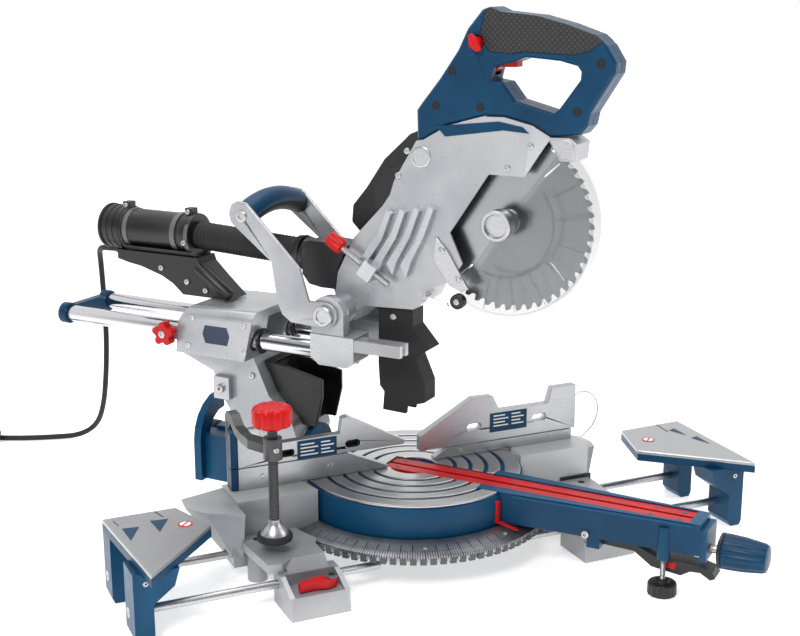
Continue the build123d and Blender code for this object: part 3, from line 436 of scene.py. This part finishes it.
# ------------------------------------------------------------------ hose
def hose(name, a, b, r, nodes, pitch=5.2):
    """Corrugated hose between two points."""
    axis = b - a
    L = axis.length * 1000
    x, y, ax = basis(axis)
    n = int(round(L / pitch))
    bm = bmesh.new()
    rings = []
    seg = 40
    for i in range(n * 4 + 1):
        d = L * i / (n * 4)
        rr = r - 1.5 * (0.5 + 0.5 * math.cos(2 * math.pi * i / 4)) ** 0.8
        ring = []
        for k in range(seg):
            t = 2 * math.pi * k / seg
            ring.append(bm.verts.new(a + ax * (d / 1000) + (x * math.cos(t) + y * math.sin(t)) * (rr / 1000)))
        rings.append(ring)
    for r0, r1 in zip(rings, rings[1:]):
        for k in range(seg):
            j = (k + 1) % seg
            bm.faces.new((r0[k], r0[j], r1[j], r1[k]))
    me = bpy.data.meshes.new(name)
    bmesh.ops.recalc_face_normals(bm, faces=bm.faces)
    for f in bm.faces:
        f.smooth = True
    bm.to_mesh(me)
    bm.free()
    o = bpy.data.objects.new(name, me)
    bpy.context.scene.collection.objects.link(o)
    me.materials.append(RUBBER)
    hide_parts(*nodes)
    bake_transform(o)
    return o


HA, HB = W(0, 320.8, 366.0), W(4, 160.2, 356.9)
HM = (HA + HB) / 2
hose("hose_rear", HA, HM, 18.6, ["dust_hose_rear"])
hose("hose_front", HM, HB, 18.6, ["dust_hose_front"])

# ------------------------------------------------------------------ supply cord
CORD = [(9, 466, 332), (12, 496, 331), (36, 526, 322), (58, 543, 296), (68, 550, 256), (72, 552, 210), (74, 555, 160), (77, 562, 112),
        (84, 575, 66), (92, 596, 28), (88, 628, 6), (66, 662, 4.2), (42, 696, 4.2), (23, 733, 4.2)]
CC = (-28.0, 761.0)
COIL = []
PER = 12
# turns lie beside and on each other: three at the bottom, then back inward on top
turn_r = [53.5, 45.5, 38.0, 42.0, 50.0, 54.0]
turn_z = [4.3, 4.3, 4.3, 11.6, 11.6, 19.0]
a_start = math.degrees(math.atan2(733 - CC[1], 23 - CC[0]))
for t in range(6):
    for k in range(PER):
        f = k / PER
        nxt = min(t + 1, 5)
        g = max(0.0, (f - 0.7) / 0.3)
        g = g * g * (3 - 2 * g)
        rr = turn_r[t] + (turn_r[nxt] - turn_r[t]) * g
        zz = turn_z[t] + (turn_z[nxt] - turn_z[t]) * g
        a = math.radians(a_start + 8 + 360.0 * (t + f))
        rr_c = rr / math.cos(math.pi / PER) * 0.995
        COIL.append((CC[0] + rr_c * math.cos(a), CC[1] + rr_c * math.sin(a), zz))
tail = [(CC[0] + 52 * math.cos(math.radians(a_start + 8)), CC[1] + 52 * math.sin(math.radians(a_start + 8)), 19.6)]
for k in range(1, 5):
    a = math.radians(a_start + 8 + 24 * k)
    tail.append((CC[0] + 53.5 * math.cos(a), CC[1] + 53.5 * math.sin(a), 19.6))
ROUTE = CORD + COIL + tail


def nurbs(name, pts, r, mat):
    cu = bpy.data.curves.new(name, "CURVE")
    cu.dimensions = "3D"
    sp = cu.splines.new("NURBS")
    sp.points.add(len(pts) - 1)
    for i, p in enumerate(pts):
        sp.points[i].co = (*W(*p), 1.0)
    sp.order_u = 3
    sp.use_endpoint_u = True
    sp.resolution_u = 6
    cu.bevel_depth = r / 1000
    cu.bevel_resolution = 4
    cu.use_fill_caps = True
    cu.materials.append(mat)
    o = bpy.data.objects.new(name, cu)
    bpy.context.scene.collection.objects.link(o)
    return o


line = nurbs("cord_line", ROUTE, 4.0, RUBBER)


def as_mesh(o):
    return bpy.data.meshes.new_from_object(o.evaluated_get(bpy.context.evaluated_depsgraph_get()))


bpy.context.view_layer.update()
tube = as_mesh(line)
line.data.bevel_depth = 0.0
bpy.context.view_layer.update()
thin = as_mesh(line)
bpy.data.objects.remove(line)
bpy.data.meshes.remove(thin)
for p in tube.polygons:
    p.use_smooth = True
cord = bpy.data.objects.new("mains_cord", tube)
bpy.context.scene.collection.objects.link(cord)
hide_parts("supply_cord", "cord_coil")
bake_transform(cord)

# ------------------------------------------------------------------ camera, light, floor
cam = bpy.data.cameras.new("cam")
cam.lens = 60.68
cam.sensor_width = 36.0
cam.sensor_fit = "HORIZONTAL"
co = bpy.data.objects.new("cam", cam)
th, ph = math.radians(24.3557), math.radians(14.3846)
back = Vector((-math.sin(th) * math.cos(ph), -math.cos(th) * math.cos(ph), math.sin(ph)))
right = Vector((math.cos(th), -math.sin(th), 0))
upv = back.cross(right)
co.matrix_world = Matrix(((right.x, upv.x, back.x, -0.6864), (right.y, upv.y, back.y, -1.4759), (right.z, upv.z, back.z, 0.7068), (0, 0, 0, 1)))
cam.clip_end = 20
bpy.context.scene.collection.objects.link(co)
bpy.context.scene.camera = co

bm = bmesh.new()
bmesh.ops.create_grid(bm, x_segments=2, y_segments=2, size=40.0)
me = bpy.data.meshes.new("floor")
bm.to_mesh(me)
bm.free()
floor = bpy.data.objects.new("floor", me)
bpy.context.scene.collection.objects.link(floor)
fm, fnt, fbs = new_mat("M_floor")
fbs.inputs["Base Color"].default_value = (0.9, 0.9, 0.9, 1)
fbs.inputs["Roughness"].default_value = 0.6
fbs.inputs["Emission Color"].default_value = (1.0, 1.0, 1.0, 1)
fbs.inputs["Emission Strength"].default_value = 0.5
me.materials.append(fm)
floor.location = (0, 0, -0.0002)

world = bpy.data.worlds.new("world")
bpy.context.scene.world = world
world.use_nodes = True
bg = world.node_tree.nodes["Background"]
wt = world.node_tree
wtc = wt.nodes.new("ShaderNodeTexCoord")
wsep = wt.nodes.new("ShaderNodeSeparateXYZ")
wt.links.new(wtc.outputs["Generated"], wsep.inputs[0])
wr = wt.nodes.new("ShaderNodeValToRGB")
we = wr.color_ramp.elements
we[0].position, we[0].color = 0.0, (0.5, 0.5, 0.5, 1)
we[1].position, we[1].color = 1.0, (0.62, 0.62, 0.63, 1)
for pos, col in ((0.16, 0.42), (0.28, 0.05), (0.5, 0.04), (0.66, 0.5)):
    ee = we.new(pos)
    ee.color = (col, col, col * 1.01, 1)
wt.links.new(wsep.outputs["Z"], wr.inputs["Fac"])
wy = wt.nodes.new("ShaderNodeMapRange")
wy.inputs["From Min"].default_value = -0.05
wy.inputs["From Max"].default_value = 0.4
wt.links.new(wsep.outputs["Y"], wy.inputs["Value"])
wm = wt.nodes.new("ShaderNodeMixRGB")
wm.inputs[2].default_value = (1.0, 1.0, 1.0, 1)
wt.links.new(wy.outputs["Result"], wm.inputs[0])
wt.links.new(wr.outputs["Color"], wm.inputs[1])
wt.links.new(wm.outputs[0], bg.inputs[0])
bg.inputs[1].default_value = 1.0


def area(name, loc, target, size, power):
    l = bpy.data.lights.new(name, "AREA")
    l.shape = "RECTANGLE"
    l.size, l.size_y = size
    l.energy = power
    o = bpy.data.objects.new(name, l)
    o.location = loc
    d = (Vector(target) - Vector(loc)).normalized()
    o.rotation_euler = d.to_track_quat("-Z", "Y").to_euler()
    bpy.context.scene.collection.objects.link(o)


area("key", (-1.6, -1.5, 2.2), (0, 0, 0.3), (0.9, 0.8), 42)
area("fill", (1.9, -1.2, 1.3), (0, 0, 0.3), (1.2, 1.2), 14)
area("top", (0.1, 0.4, 2.4), (0, 0, 0.2), (2.0, 2.0), 26)
bpy.context.scene.view_settings.view_transform = "Standard"

# ------------------------------------------------------------------ details
# DETAILS_START
# hold-down clamp: fluted red knob, threaded spindle, silver dome and black foot
CX, CY = -216.0, -82.0
cb = R(CX, CY, 0)
lathe("clamp_knob", cb, UP, [(203, 9), (204, 20), (206.5, 23.4), (223, 23.6), (226.5, 21.5), (228.5, 17), (229, 12), (227.8, 10.5), (227.6, 0.1)],
      RED, "clamp", seg=96, flute=(9, 3.2, 204, 228.6))
thr = [(86, 5.9)]
for i in range(58):
    z0 = 88 + i * 2.0
    thr += [(z0, 5.9), (z0 + 0.7, 5.9), (z0 + 1.1, 5.3), (z0 + 1.6, 5.3)]
thr += [(204.5, 5.3)]
spindle = lathe("clamp_spindle", cb, UP, thr, BLACKS, "clamp", seg=24)
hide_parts("clamp_screw")
lathe("clamp_foot_dome", cb, UP, [(72, 17), (76, 15.8), (81, 11), (85, 8), (90, 7.2), (90.5, 4)], ZINC, "clamp", seg=40)
lathe("clamp_foot_pad", cb, UP, [(64, 18.5), (64.6, 20.4), (66, 21), (70, 21), (71.6, 20), (72.4, 17)], RUBBER, "clamp", seg=48)
screw("clamp_nut_screw", R(CX, CY - 11, 178), Vector((0, -1, 0)), 3.4, 3.0, "base")

# mitre lock knob with shallow finger flutes, and its rod
kn = [(0, 15), (1.5, 17.6), (7, 20.6), (9, 21), (30, 20.2), (52, 17.4), (56, 15.6), (57.5, 11), (57.5, 0.1)]
k1 = lathe("mitre_knob_grip", W(0, -397.5, 60), -BK, kn, BLUEP, "mitre_knob", seg=96, flute=(12, 1.5, 8, 53))
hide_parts("mitre_lock_knob")
lathe("mitre_knob_rod", W(0, -374, 60), -BK, [(0, 5), (25, 5)], ZINC, "mitre_knob", seg=24)
lathe("mitre_knob_ring", W(0, -399, 60), -BK, [(0, 19.2), (0.4, 20.6), (4, 21.2), (4.4, 20.4)], BLACK, "mitre_knob", seg=64)

# adjustable foot of the arm
f1 = lathe("arm_foot_disc", W(-19, -338, 0), UP, [(0, 15.5), (0.8, 17), (13.6, 17), (15, 15.6), (15.2, 9), (18.5, 7.5), (18.7, 3.4)], BLACK, "arm_foot", seg=80, flute=(14, 1.6, 0.5, 14))
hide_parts("arm_foot")
thr = []
for i in range(25):
    z0 = 18 + i * 1.6
    thr += [(z0, 3.4), (z0 + 0.8, 2.95)]
lathe("arm_foot_thread", W(-19, -338, 0), UP, thr, ZINC, "arm_foot", seg=20)

# kerf insert screws, arm details
for v in (-352, -318):
    for s in (-1, 1):
        lathe("insert_screw", W(s * 11.5, v, 93.2), UP, [(0, 3.6), (0.7, 3.5), (0.8, 1.8), (0.2, 1.4), (0.15, 0.1)], BLACKS, "turntable", seg=20)
for v in (-140, -60, 16):
    for s in (-1, 1):
        lathe("insert_screw", W(s * 11.5, v, 93.2), UP, [(0, 3.4), (0.6, 3.3), (0.7, 1.8), (0.2, 1.4), (0.15, 0.1)], BLACKS, "turntable", seg=20)
screw("arm_side_bolt", W(-27.2, -245, 60), -NX, 5.2, 4.5, "turntable")
screw("arm_side_bolt_b", W(27.2, -245, 60), NX, 5.2, 4.5, "turntable")
prism("scale_pointer", [W(-43, -133.8, 86), W(-36.5, -135.6, 86), W(-36.5, -138.4, 84), W(-43, -136.6, 84)], Vector((0, 0, -0.026)), RED, "turntable", 0.0006)
prism("scale_pointer_foot", [W(-43, -133.8, 60), W(-36.5, -135.6, 60), W(-37.5, -160, 54.6), W(-41, -164, 53.4), W(-43, -160, 54.6)], Vector((0, 0, -0.0018)), RED, "turntable", 0.0004)
# arm side ribs: raised rails along each flank
for s in (-1, 1):
    p = [W(s * 33.6, -152, 90), W(s * 22.0, -372, 90), W(s * 22.0, -372, 93.6), W(s * 33.6, -152, 93.6)]
    prism("arm_rail", p, NX * (s * 0.0012), BLUE, "turntable", 0.0004)
# detent lever: pivot pin and small plain red mark
lathe("detent_pin", W(-20, -254, 49), NX, [(0, 3.6), (1, 4.2), (39, 4.2), (40, 3.6)], ZINC, "turntable", seg=20)
side_plate("detent_mark", -12.7, 0.8, [(-352, 38.5), (-337, 38), (-337, 31), (-350, 30)], RED, "detent", 0.0002)
for k in range(6):
    v = -376 - k * 2.6
    prism("detent_ridge", [W(-10, v, 31 - k * 1.0 + 8.2), W(10, v, 31 - k * 1.0 + 8.2), W(10, v - 1.1, 31 - k * 1.0 + 8.2), W(-10, v - 1.1, 31 - k * 1.0 + 8.2)], Vector((0, 0, 0.0008)), BLACK, "detent", 0.0002)

# fences: clamp screw helper (not called), painted shade in the slots, lower screws, blue end pieces, plain labels
def fence_screw(x, z, body):
    # dark disc of painted shade around the screw in the slot
    lathe("fence_screw_recess_shade", R(x, 4.5, z), Vector((0, -1, 0)), [(-1.0, 4.2), (0.2, 4.2)], SHADE_M, body, seg=24)
    screw("fence_screw", R(x, 8.5, z), Vector((0, -1, 0)), 4.1, 3.6, body)


for x in (-169, -81):
    # dark plate at the back of each fence slot: painted shade
    prism("fence_slot_shade", [R(x - 12, 15.8, 128), R(x + 12, 15.8, 128), R(x + 12, 15.8, 141), R(x - 12, 15.8, 141)], Vector((0, 0.001, 0)), SHADE_M, "fence_left", 0)
for x, b in ((-200, "base"), (-112, "base")):
    screw("fence_base_screw", R(x, 4.4, 110), Vector((0, -1, 0)), 3.6, 0.9, b)
for x in (70, 205):
    screw("fence_base_screw", R(x, 4.4, 102.6), Vector((0, -1, 0)), 3.0, 0.9, "base")
prism("fence_end_left", [R(-240, 5.2, 124), R(-231.1, 5.2, 124), R(-231.1, 5.2, 172), R(-236, 5.2, 172), R(-240, 5.2, 168)], Vector((0, 0.012, 0)), BLUEP, "fence_left", 0.0012)
prism("fence_cap_left", [R(-240, 5.2, 96), R(-231.1, 5.2, 96), R(-231.1, 5.2, 123.4), R(-240, 5.2, 123.4)], Vector((0, 0.012, 0)), BLUEP, "base", 0.0012)
prism("fence_plate_left", [R(-155, 4.3, 124.5), R(-103, 4.3, 124.5), R(-103, 4.3, 148), R(-155, 4.3, 148)], Vector((0, -0.0005, 0)), BLUEP, "fence_left", 0.0001)
prism("fence_plate_right", [R(113, 4.3, 121), R(168, 4.3, 121), R(168, 4.3, 147), R(113, 4.3, 147)], Vector((0, -0.0005, 0)), BLUEP, "fence_right", 0.0001)
for k, (x0, x1, bd) in enumerate(((-151, -128, "fence_left"), (-124, -107, "fence_left"), (118, 140, "fence_right"), (145, 163, "fence_right"))):
    for j in range(4):
        z0 = 128.5 + j * 4.6
        prism("plate_line", [R(x0, 3.75, z0), R(x1 - (j % 2) * 5, 3.75, z0), R(x1 - (j % 2) * 5, 3.75, z0 + 1.6), R(x0, 3.75, z0 + 1.6)], Vector((0, -0.0003, 0)), WHITE, bd, 0)

# base: screws and dark block on the right, lever pivots
for s, b in ((-1, "lever_left"), (1, "lever_right")):
    lathe("lever_pivot_cap", R(s * 172, -150, 38), UP, [(0, 7.6), (1.6, 7.6), (2.4, 6.8), (2.6, 3.4), (1.2, 3.0), (1.1, 0.1)], BLACKS, b, seg=28)
prism("lever_block_face", [R(202, -29.5, 31), R(249, -29.5, 31), R(249, -29.5, 56), R(202, -29.5, 56)], Vector((0, -0.0015, 0)), BLACK, "base", 0.0005)
for x in (213, 238):
    screw("base_face_screw", R(x, -31, 44), Vector((0, -1, 0)), 4.0, 2.4, "base")
for s in (-1, 1):
    for (x, y) in ((-206, -70), (-190, -58)):
        lathe("platform_screw", R(s * abs(x), y, 51), UP, [(0, 3.6), (1.2, 3.4), (1.5, 1.8), (0.5, 1.5), (0.4, 0.1)], ZINC, "base", seg=20)
# dark discs in the bolt holes are painted shade
for s in (-1, 1):
    for y in (-44, 44):
        lathe("bolt_hole_shade", R(s * 226, y, 45 if y > 0 else 51.0), UP, [(-3, 4.4), (0.3, 4.4)], SHADE_M, "base", seg=24)
# two screws on the front of the scale ring
for x in (-60, 60):
    a = math.atan2(-168, x)
    lathe("ring_screw", R(158 * math.cos(a), 158 * math.sin(a), 49.6), UP, [(0, 3.4), (1.8, 3.2), (2.2, 1.6), (1.2, 1.4), (1.1, 0.1)], ZINC, "base", seg=20)

# side supports: rod ends and plain marks on the tables
for s, b, xl in ((-1, "support_left", -388), (1, "support_right", 396)):
    for y in (-20.0, -122.0):
        lathe("rod_end", R(xl + s * 12, y, 27), Vector((s, 0, 0)), [(-1, 6.5), (0.8, 6.2), (1.2, 3.2), (0.4, 2.8), (0.3, 0.1)], ZINC, b, seg=24)
        screw("leg_screw", R(xl - s * 2, y - 17 if y > -100 else y - 26.5, 70), Vector((0, -1, 0)), 3.4, 2.2, b)
def mark(name, pts, mat, body):
    prism(name, [R(x, y, 95.03) for x, y in pts], Vector((0, 0, 0.0003)), mat, body, 0)


mark("table_mark_a", [(-387, -50), (-368, -52.5), (-385.7, -87)], BLUEP, "support_left")
mark("table_mark_b", [(-352.5, -40.6), (-332, -43.4), (-350, -76)], BLUEP, "support_left")
mark("table_line_a", [(-341, -16.7), (-339.6, -16.7), (-335, -35.3), (-336.4, -35.3)], BLACK, "support_left")
mark("table_line_b", [(-392, -24), (-391, -24), (-388, -40), (-389, -40)], BLACK, "support_left")
mark("table_mark_c", [(389, -20), (378, -24), (388, -50)], BLUEP, "support_right")
mark("table_mark_d", [(398, -60), (387, -62), (396, -90)], BLUEP, "support_right")
mark("table_line_c", [(376, 4), (377.4, 4), (373.6, -28), (372.2, -28)], BLACK, "support_right")
for x, y, b in ((-318, -66, "support_left"), (330, -44, "support_right")):
    lathe("table_ring_mark", R(x, y, 95.02), UP, [(0.0, 8.6), (0.35, 8.6), (0.35, 0.1)], RED, b, seg=36)
    lathe("table_ring_face", R(x, y, 95.36), UP, [(0.0, 6.6), (0.12, 6.6), (0.12, 0.1)], WHITE, b, seg=36)
    prism("table_ring_bar", [R(x - 5.4, y - 4.0, 95.48), R(x - 4.0, y - 5.4, 95.48), R(x + 5.4, y + 4.0, 95.48), R(x + 4.0, y + 5.4, 95.48)], Vector((0, 0, 0.00012)), RED, b, 0)

# rails and hinge
for s in (-1, 1):
    lathe("rail_cap_hump", W(s * 42.2, 526.5, 245), BK, [(0, 12.8), (1.5, 12.4), (2.6, 9), (2.8, 0.1)], BLUEP, "carriage", seg=32)
    # wiper rings where the rails enter the housing
    lathe("rail_wiper", W(s * 42.2, 197.5, 245), -BK, [(0, 17), (2.2, 16.4), (3.0, 12.9), (2.6, 12.3), (0, 12.3)], BLACK, "tilt_arm", seg=40)
    lathe("carrier_collar", W(s * 42.2, 112, 245), BK, [(0, 15.4), (3.2, 15.4), (4.4, 13.6), (4.6, 11.7)], GREY, "carriage", seg=40)
    lathe("pivot_cap", W(s * 73, 88, 297), NX * s, [(-0.5, 13), (1.2, 13), (2.2, 11.8), (2.4, 8.6), (0.6, 8.2), (0.5, 0.1)], ZINC, "carriage", seg=40)
    # handle bolts
    lathe("grip_bolt", W(s * 68.2, 207, 411), NX * s, [(0, 8), (1.6, 8), (2.6, 6.8), (2.8, 3.4), (1.2, 3.0), (1.1, 0.1)], ZINC, "carriage", seg=28)
screw("slide_lock_cap", W(-80, 330, 246), -NX, 5.0, 1.8, "slide_lock", mat=ZINC)
# hinge torsion spring coils on the far side of the barrel
sp = bmesh.new()
co_, seg_ = [], 12
TURNS = 6
for i in range(TURNS * 36 + 1):
    a = 2 * math.pi * i / 36
    u = 31.2 + 14.4 * i / (TURNS * 36)
    co_.append((u, 88 + 17.1 * math.cos(a), 297 + 17.1 * math.sin(a), a))
rg = []
for (u, v, z, a) in co_:
    ctr = W(u, v, z)
    rad = BK * math.cos(a) + UP * math.sin(a)
    rg.append([sp.verts.new(ctr + (NX * math.cos(t) + rad * math.sin(t)) * 0.00115) for t in [2 * math.pi * k / seg_ for k in range(seg_)]])
for r0, r1 in zip(rg, rg[1:]):
    for k in range(seg_):
        j = (k + 1) % seg_
        sp.faces.new((r0[k], r0[j], r1[j], r1[k]))
sp.faces.new(rg[0][::-1])
sp.faces.new(rg[-1])
spring = finish_mesh(sp, "hinge_spring", ZINC, "carriage")
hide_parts("return_spring")

# tilt arm: screws and recesses on the rail housing, lug bolt, bevel scale edge
for v, z, r in ((212, 268, 4.2), (292, 270, 4.2), (212, 232, 4.2), (300, 232, 4.2)):
    for s in (-1, 1):
        screw("housing_screw", W(s * 64, v, z), NX * s, r, 1.2, "tilt_arm")
side_plate("housing_recess", -64.5, 0.6, [(238, 262), (272, 262), (276, 250), (272, 238), (238, 238), (234, 250)], DARKBLUE, "tilt_arm", 0.0002)
screw("stop_bolt", W(-52, 258, 175), -NX, 6.0, 5.0, "tilt_arm")
screw("tilt_pivot_bolt", W(-43.4, 214, 196), -NX, 4.2, 2.4, "tilt_arm")
pa = [(0 + 54.5 * math.cos(math.radians(t)), 95 + 54.5 * math.sin(math.radians(t))) for t in range(90, 182, 4)]
pb = [(0 + 47 * math.cos(math.radians(t)), 95 + 47 * math.sin(math.radians(t))) for t in range(180, 88, -4)]
prism("bevel_scale_plate", [W(u, 303.05, z) for u, z in pa + pb], BK * 0.0007, ALU_X, "turntable", 0.0001)
for t in range(90, 181, 5):
    a = math.radians(t)
    d = Vector((0, 0, 0))
    u0, z0 = 53.5 * math.cos(a), 95 + 53.5 * math.sin(a)
    u1, z1 = (50 if t % 15 else 48.2) * math.cos(a), 95 + (50 if t % 15 else 48.2) * math.sin(a)
    nx, nz = -math.sin(a) * 0.25, math.cos(a) * 0.25
    prism("bevel_tick", [W(u0 + nx, 303.8, z0 + nz), W(u0 - nx, 303.8, z0 - nz), W(u1 - nx, 303.8, z1 - nz), W(u1 + nx, 303.8, z1 + nz)], BK * 0.0002, BLACKS, "turntable", 0)

# dust tube bands, screws and bracket bolts
for v, r in ((344, 27.6), (424, 27.6)):
    lathe("tube_band", W(0, v, 367), BK, [(0, 26.0), (0.2, r), (7.8, r), (8.0, 26.0)], BLACKS, "tilt_arm", seg=56)
for v in (436, 446, 456):
    lathe("tube_rib", W(0, v, 367), BK, [(0, 29.2), (0.6, 30.3), (3.0, 30.3), (3.6, 29.2)], BLACK, "tilt_arm", seg=64)
lathe("tube_lip", W(0, 466, 367), BK, [(0, 29.2), (1.0, 31), (4.0, 31), (4.4, 30), (4.4, 24.4), (3.0, 23.6)], BLACK, "tilt_arm", seg=64)
for v in (334, 438):
    screw("tube_lug_screw", W(-7, v, 398 if v == 438 else 397), -NX, 3.6, 3.0, "tilt_arm")
lathe("hose_clamp_band", W(0.0, 322, 366), BK, [(0, 20.2), (0.4, 28.6), (6, 28.6), (6.4, 27.6)], BLACKS, "tilt_arm", seg=48)
screw("hose_clamp_screw", W(-28.6, 326, 360), -NX, 3.8, 4.0, "tilt_arm")
for v, z in ((300, 296), (330, 305), (372, 320)):
    screw("bracket_bolt", W(-20, v, z), -NX, 4.2, 2.6, "tilt_arm")
lathe("hose_cuff", W(4, 166, 357.4), -BK, [(0, 19.9), (0.3, 21.6), (6, 21.6), (8, 22.4)], BLACK, "head", seg=48)

# head: plain round badge plate, blue guard strip, fastened silver plate, screws, screw wells
lathe("badge_disc", W(-21.1, -20, 494), -NX, [(-0.4, 13), (0.9, 13), (1.4, 12.2), (1.4, 10.4), (0.9, 10.1), (0.9, 0.1)], ZINC, "head", seg=48)
side_plate("guard_strip", -21.7, 0.8, [(-40, 532), (-120, 541), (-150, 536), (-158, 529), (-126, 531), (-52, 520)], BLUEP, "head", 0.0002)
side_plate("arbor_plate", -24.2, 3.2, [(-42, 400), (-58, 384), (-86, 340), (-76, 336), (-60, 342), (-38, 372)], ZINC, "head", 0.0006)
for v, z in ((-50, 384), (-72, 351)):
    screw("arbor_plate_screw", W(-24.2, v, z), -NX, 4.4, 2.4, "head")
for v, z in ((-2, 500), (10, 470), (-132, 488), (-160, 515)):
    screw("guard_screw", W(-21, v, z), -NX, 3.8, 2.0, "head")
# dark wells at the handle screws are painted shade
for v, z in ((-39, 556), (-60, 596), (-240, 610), (-214, 556), (-96, 556)):
    lathe("handle_screw_well", W(-20.1, v, z), -NX, [(-1, 5.0), (0.5, 5.0), (0.6, 4.0), (0.1, 3.7), (0.0, 0.1)], SHADE_M, "head", seg=24)
    lathe("handle_screw_well_b", W(20.1, v, z), NX, [(-1, 5.0), (0.5, 5.0), (0.6, 4.0), (0.1, 3.7), (0.0, 0.1)], SHADE_M, "head", seg=24)
# depth stop: red cap and threaded rod
dvec = (W(-34, 16, 336) - W(-34, 100.2, 388.6)).normalized()
cap = lathe("depth_stop_cap", W(-34, 99, 387.8), dvec, [(-1, 8), (0, 9.6), (17, 10), (20, 9), (21.5, 6), (22, 4.2)], RED, "depth_stop", seg=60, flute=(10, 1.4, 0, 18))
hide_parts("depth_stop")
dth = [(20, 4.2)]
for i in range(48):
    d0 = 22 + i * 1.6
    dth += [(d0, 4.2), (d0 + 0.8, 3.7)]
lathe("depth_stop_rod", W(-34, 100.2, 388.6), dvec, dth, ZINC, "depth_stop", seg=24)

# lower guard: raised ridge, hub ring, roller, link
def ridge(name, r0, r1, u, t, a0, a1, mat, body):
    c = (-125.0, 421.7)
    outer = arc_pts(c, r1, a0, a1, 40)
    inner = arc_pts(c, r0, a1, a0, 40)
    return side_plate(name, u, t, outer + inner, mat, body, 0.0004)


ridge("guard_ridge_near", 62, 66, -18.2, 1.3, 140, 292, SMOKE, "guard")
ridge("guard_rim_near", 108.5, 112.6, -18.0, 1.1, 130, 302, SMOKE, "guard")
for t in range(150, 290, 22):
    a = math.radians(t)
    c0, s0 = math.cos(a), math.sin(a)
    n0 = (-s0 * 0.9, c0 * 0.9)
    q = [(-125 + 67 * c0 + n0[0], 421.7 + 67 * s0 + n0[1]), (-125 + 107 * c0 + n0[0], 421.7 + 107 * s0 + n0[1]),
         (-125 + 107 * c0 - n0[0], 421.7 + 107 * s0 - n0[1]), (-125 + 67 * c0 - n0[0], 421.7 + 67 * s0 - n0[1])]
    side_plate("guard_rib", -17.9, 1.0, q, SMOKE, "guard", 0.0003)
lathe("guard_hub_ring", W(-36.2, -125, 421.7), -NX, [(-14, 18.6), (1.0, 18.6), (2.0, 17.6), (2.0, 14.4), (-2.0, 13.2)], ZINC, "guard", seg=56)
lathe("guard_roller", W(-27.5, -72, 323.6), NX, [(0, 3.4), (0.1, 8.2), (1, 9.3), (9, 9.3), (10, 8.4)], BLACK, "guard", seg=36)
screw("guard_roller_pin", W(-27.5, -72, 323.6), -NX, 3.8, 2.0, "guard")
side_plate("guard_link", -31.5, 2.0, [(-25, 330), (-27, 322), (-60, 313), (-64, 318), (-61, 323)], CHROME, "head", 0.0005)
screw("guard_link_screw", W(-31.5, -31, 326), -NX, 4.2, 2.2, "head")
lathe("guard_link_post", W(-31.5, -31, 326), NX, [(0, 3.5), (14, 3.5)], ZINC, "head", seg=20)
# bright front bracket
prism("front_bracket_plate", [W(-21.6, -184, 523), W(-21.6, -206, 524.5), W(-21.6, -213, 518.5), W(-21.6, -211.5, 502), W(-21.6, -197, 502), W(-21.6, -184, 520)], NX * 0.0432, ZINC, "head", 0.001)
# blade: bolt with socket and flange detail
lathe("blade_bolt", W(-10.2, -125, 421.7), -NX, [(-1, 7.6), (2.0, 7.6), (3.4, 6.8), (3.4, 4.0), (0.5, 3.8), (0.4, 0.1)], BLACKS, "blade", seg=30)

# motor: vents and screws on the far side, slots on top
# the vents are thin strips of painted shade
for k in range(9):
    z = 396 + k * 9.0
    prism("motor_vent", [W(130.15, -24, z), W(130.15, 60, z), W(130.15, 60, z + 3.6), W(130.15, -24, z + 3.6)], NX * 0.0004, SHADE_M, "head", 0)
for v, z in ((-34, 396), (-30, 480), (78, 450), (84, 396)):
    screw("motor_screw", W(130, v, z), NX, 4.0, 1.6, "head")
# the top slots are thin strips of painted shade
for u in range(60, 122, 8):
    p = [W(u, 37, 508.4), W(u + 3.4, 37, 508.4), W(u + 3.4, 60, 484.8), W(u, 60, 484.8)]
    nrm = (p[1] - p[0]).cross(p[3] - p[0]).normalized()
    if nrm.z < 0:
        nrm = -nrm
    prism("motor_slot", [q + nrm * 0.0001 for q in p], nrm * 0.0005, SHADE_M, "head", 0)
for s in (-1, 1):
    screw("deflector_screw", W(s * 15, 20, 292), NX * s, 4.2, 2.2, "head")
# dark notched rim under the scale ring
for k in range(44):
    a0 = math.radians(-176 + k * 4.0)
    a1 = a0 + math.radians(2.6)
    q = []
    for rr, aa in ((172.6, a0), (172.6, a1), (151, a1), (151, a0)):
        x, y = rr * math.cos(aa), rr * math.sin(aa)
        q.append(R(x, min(y, -30.5), 34.5))
    if q[0].y < -0.035 and q[1].y < -0.035:
        prism("rim_tooth", q, Vector((0, 0, 0.0084)), BLACKS, "base", 0.0004)
# black underside of the carrying grip
bmu = bmesh.new()
rows = []
for i in range(25):
    u = -60 + 120 * i / 24
    zc = 425.2 - 13.2 * (abs(u) / 63.0) ** 2
    row = []
    for t in range(200, 341, 14):
        a = math.radians(t)
        row.append(bmu.verts.new(W(u, 205.4 + 16.8 * math.cos(a), zc + 16.8 * math.sin(a))))
    rows.append(row)
for r0, r1 in zip(rows, rows[1:]):
    for k in range(len(r0) - 1):
        bmu.faces.new((r0[k], r0[k + 1], r1[k + 1], r1[k]))
ug = finish_mesh(bmu, "grip_underside", RUBBER, "carriage")
so = ug.modifiers.new("thick", "SOLIDIFY")
so.thickness = 0.0012
# rounded lock-off button
btn = side_plate("lock_button", -29.2, 3.6, [(-83, 637), (-87, 640), (-93, 636), (-99, 625), (-100, 621), (-95, 619), (-91, 620), (-84, 632)], RED, "lock_off", 0.0012)
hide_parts("lock_off_button")
lathe("lock_button_stem", W(-26.4, -90, 629), NX, [(0, 7.2), (12, 7.2)], RED, "lock_off", seg=28)
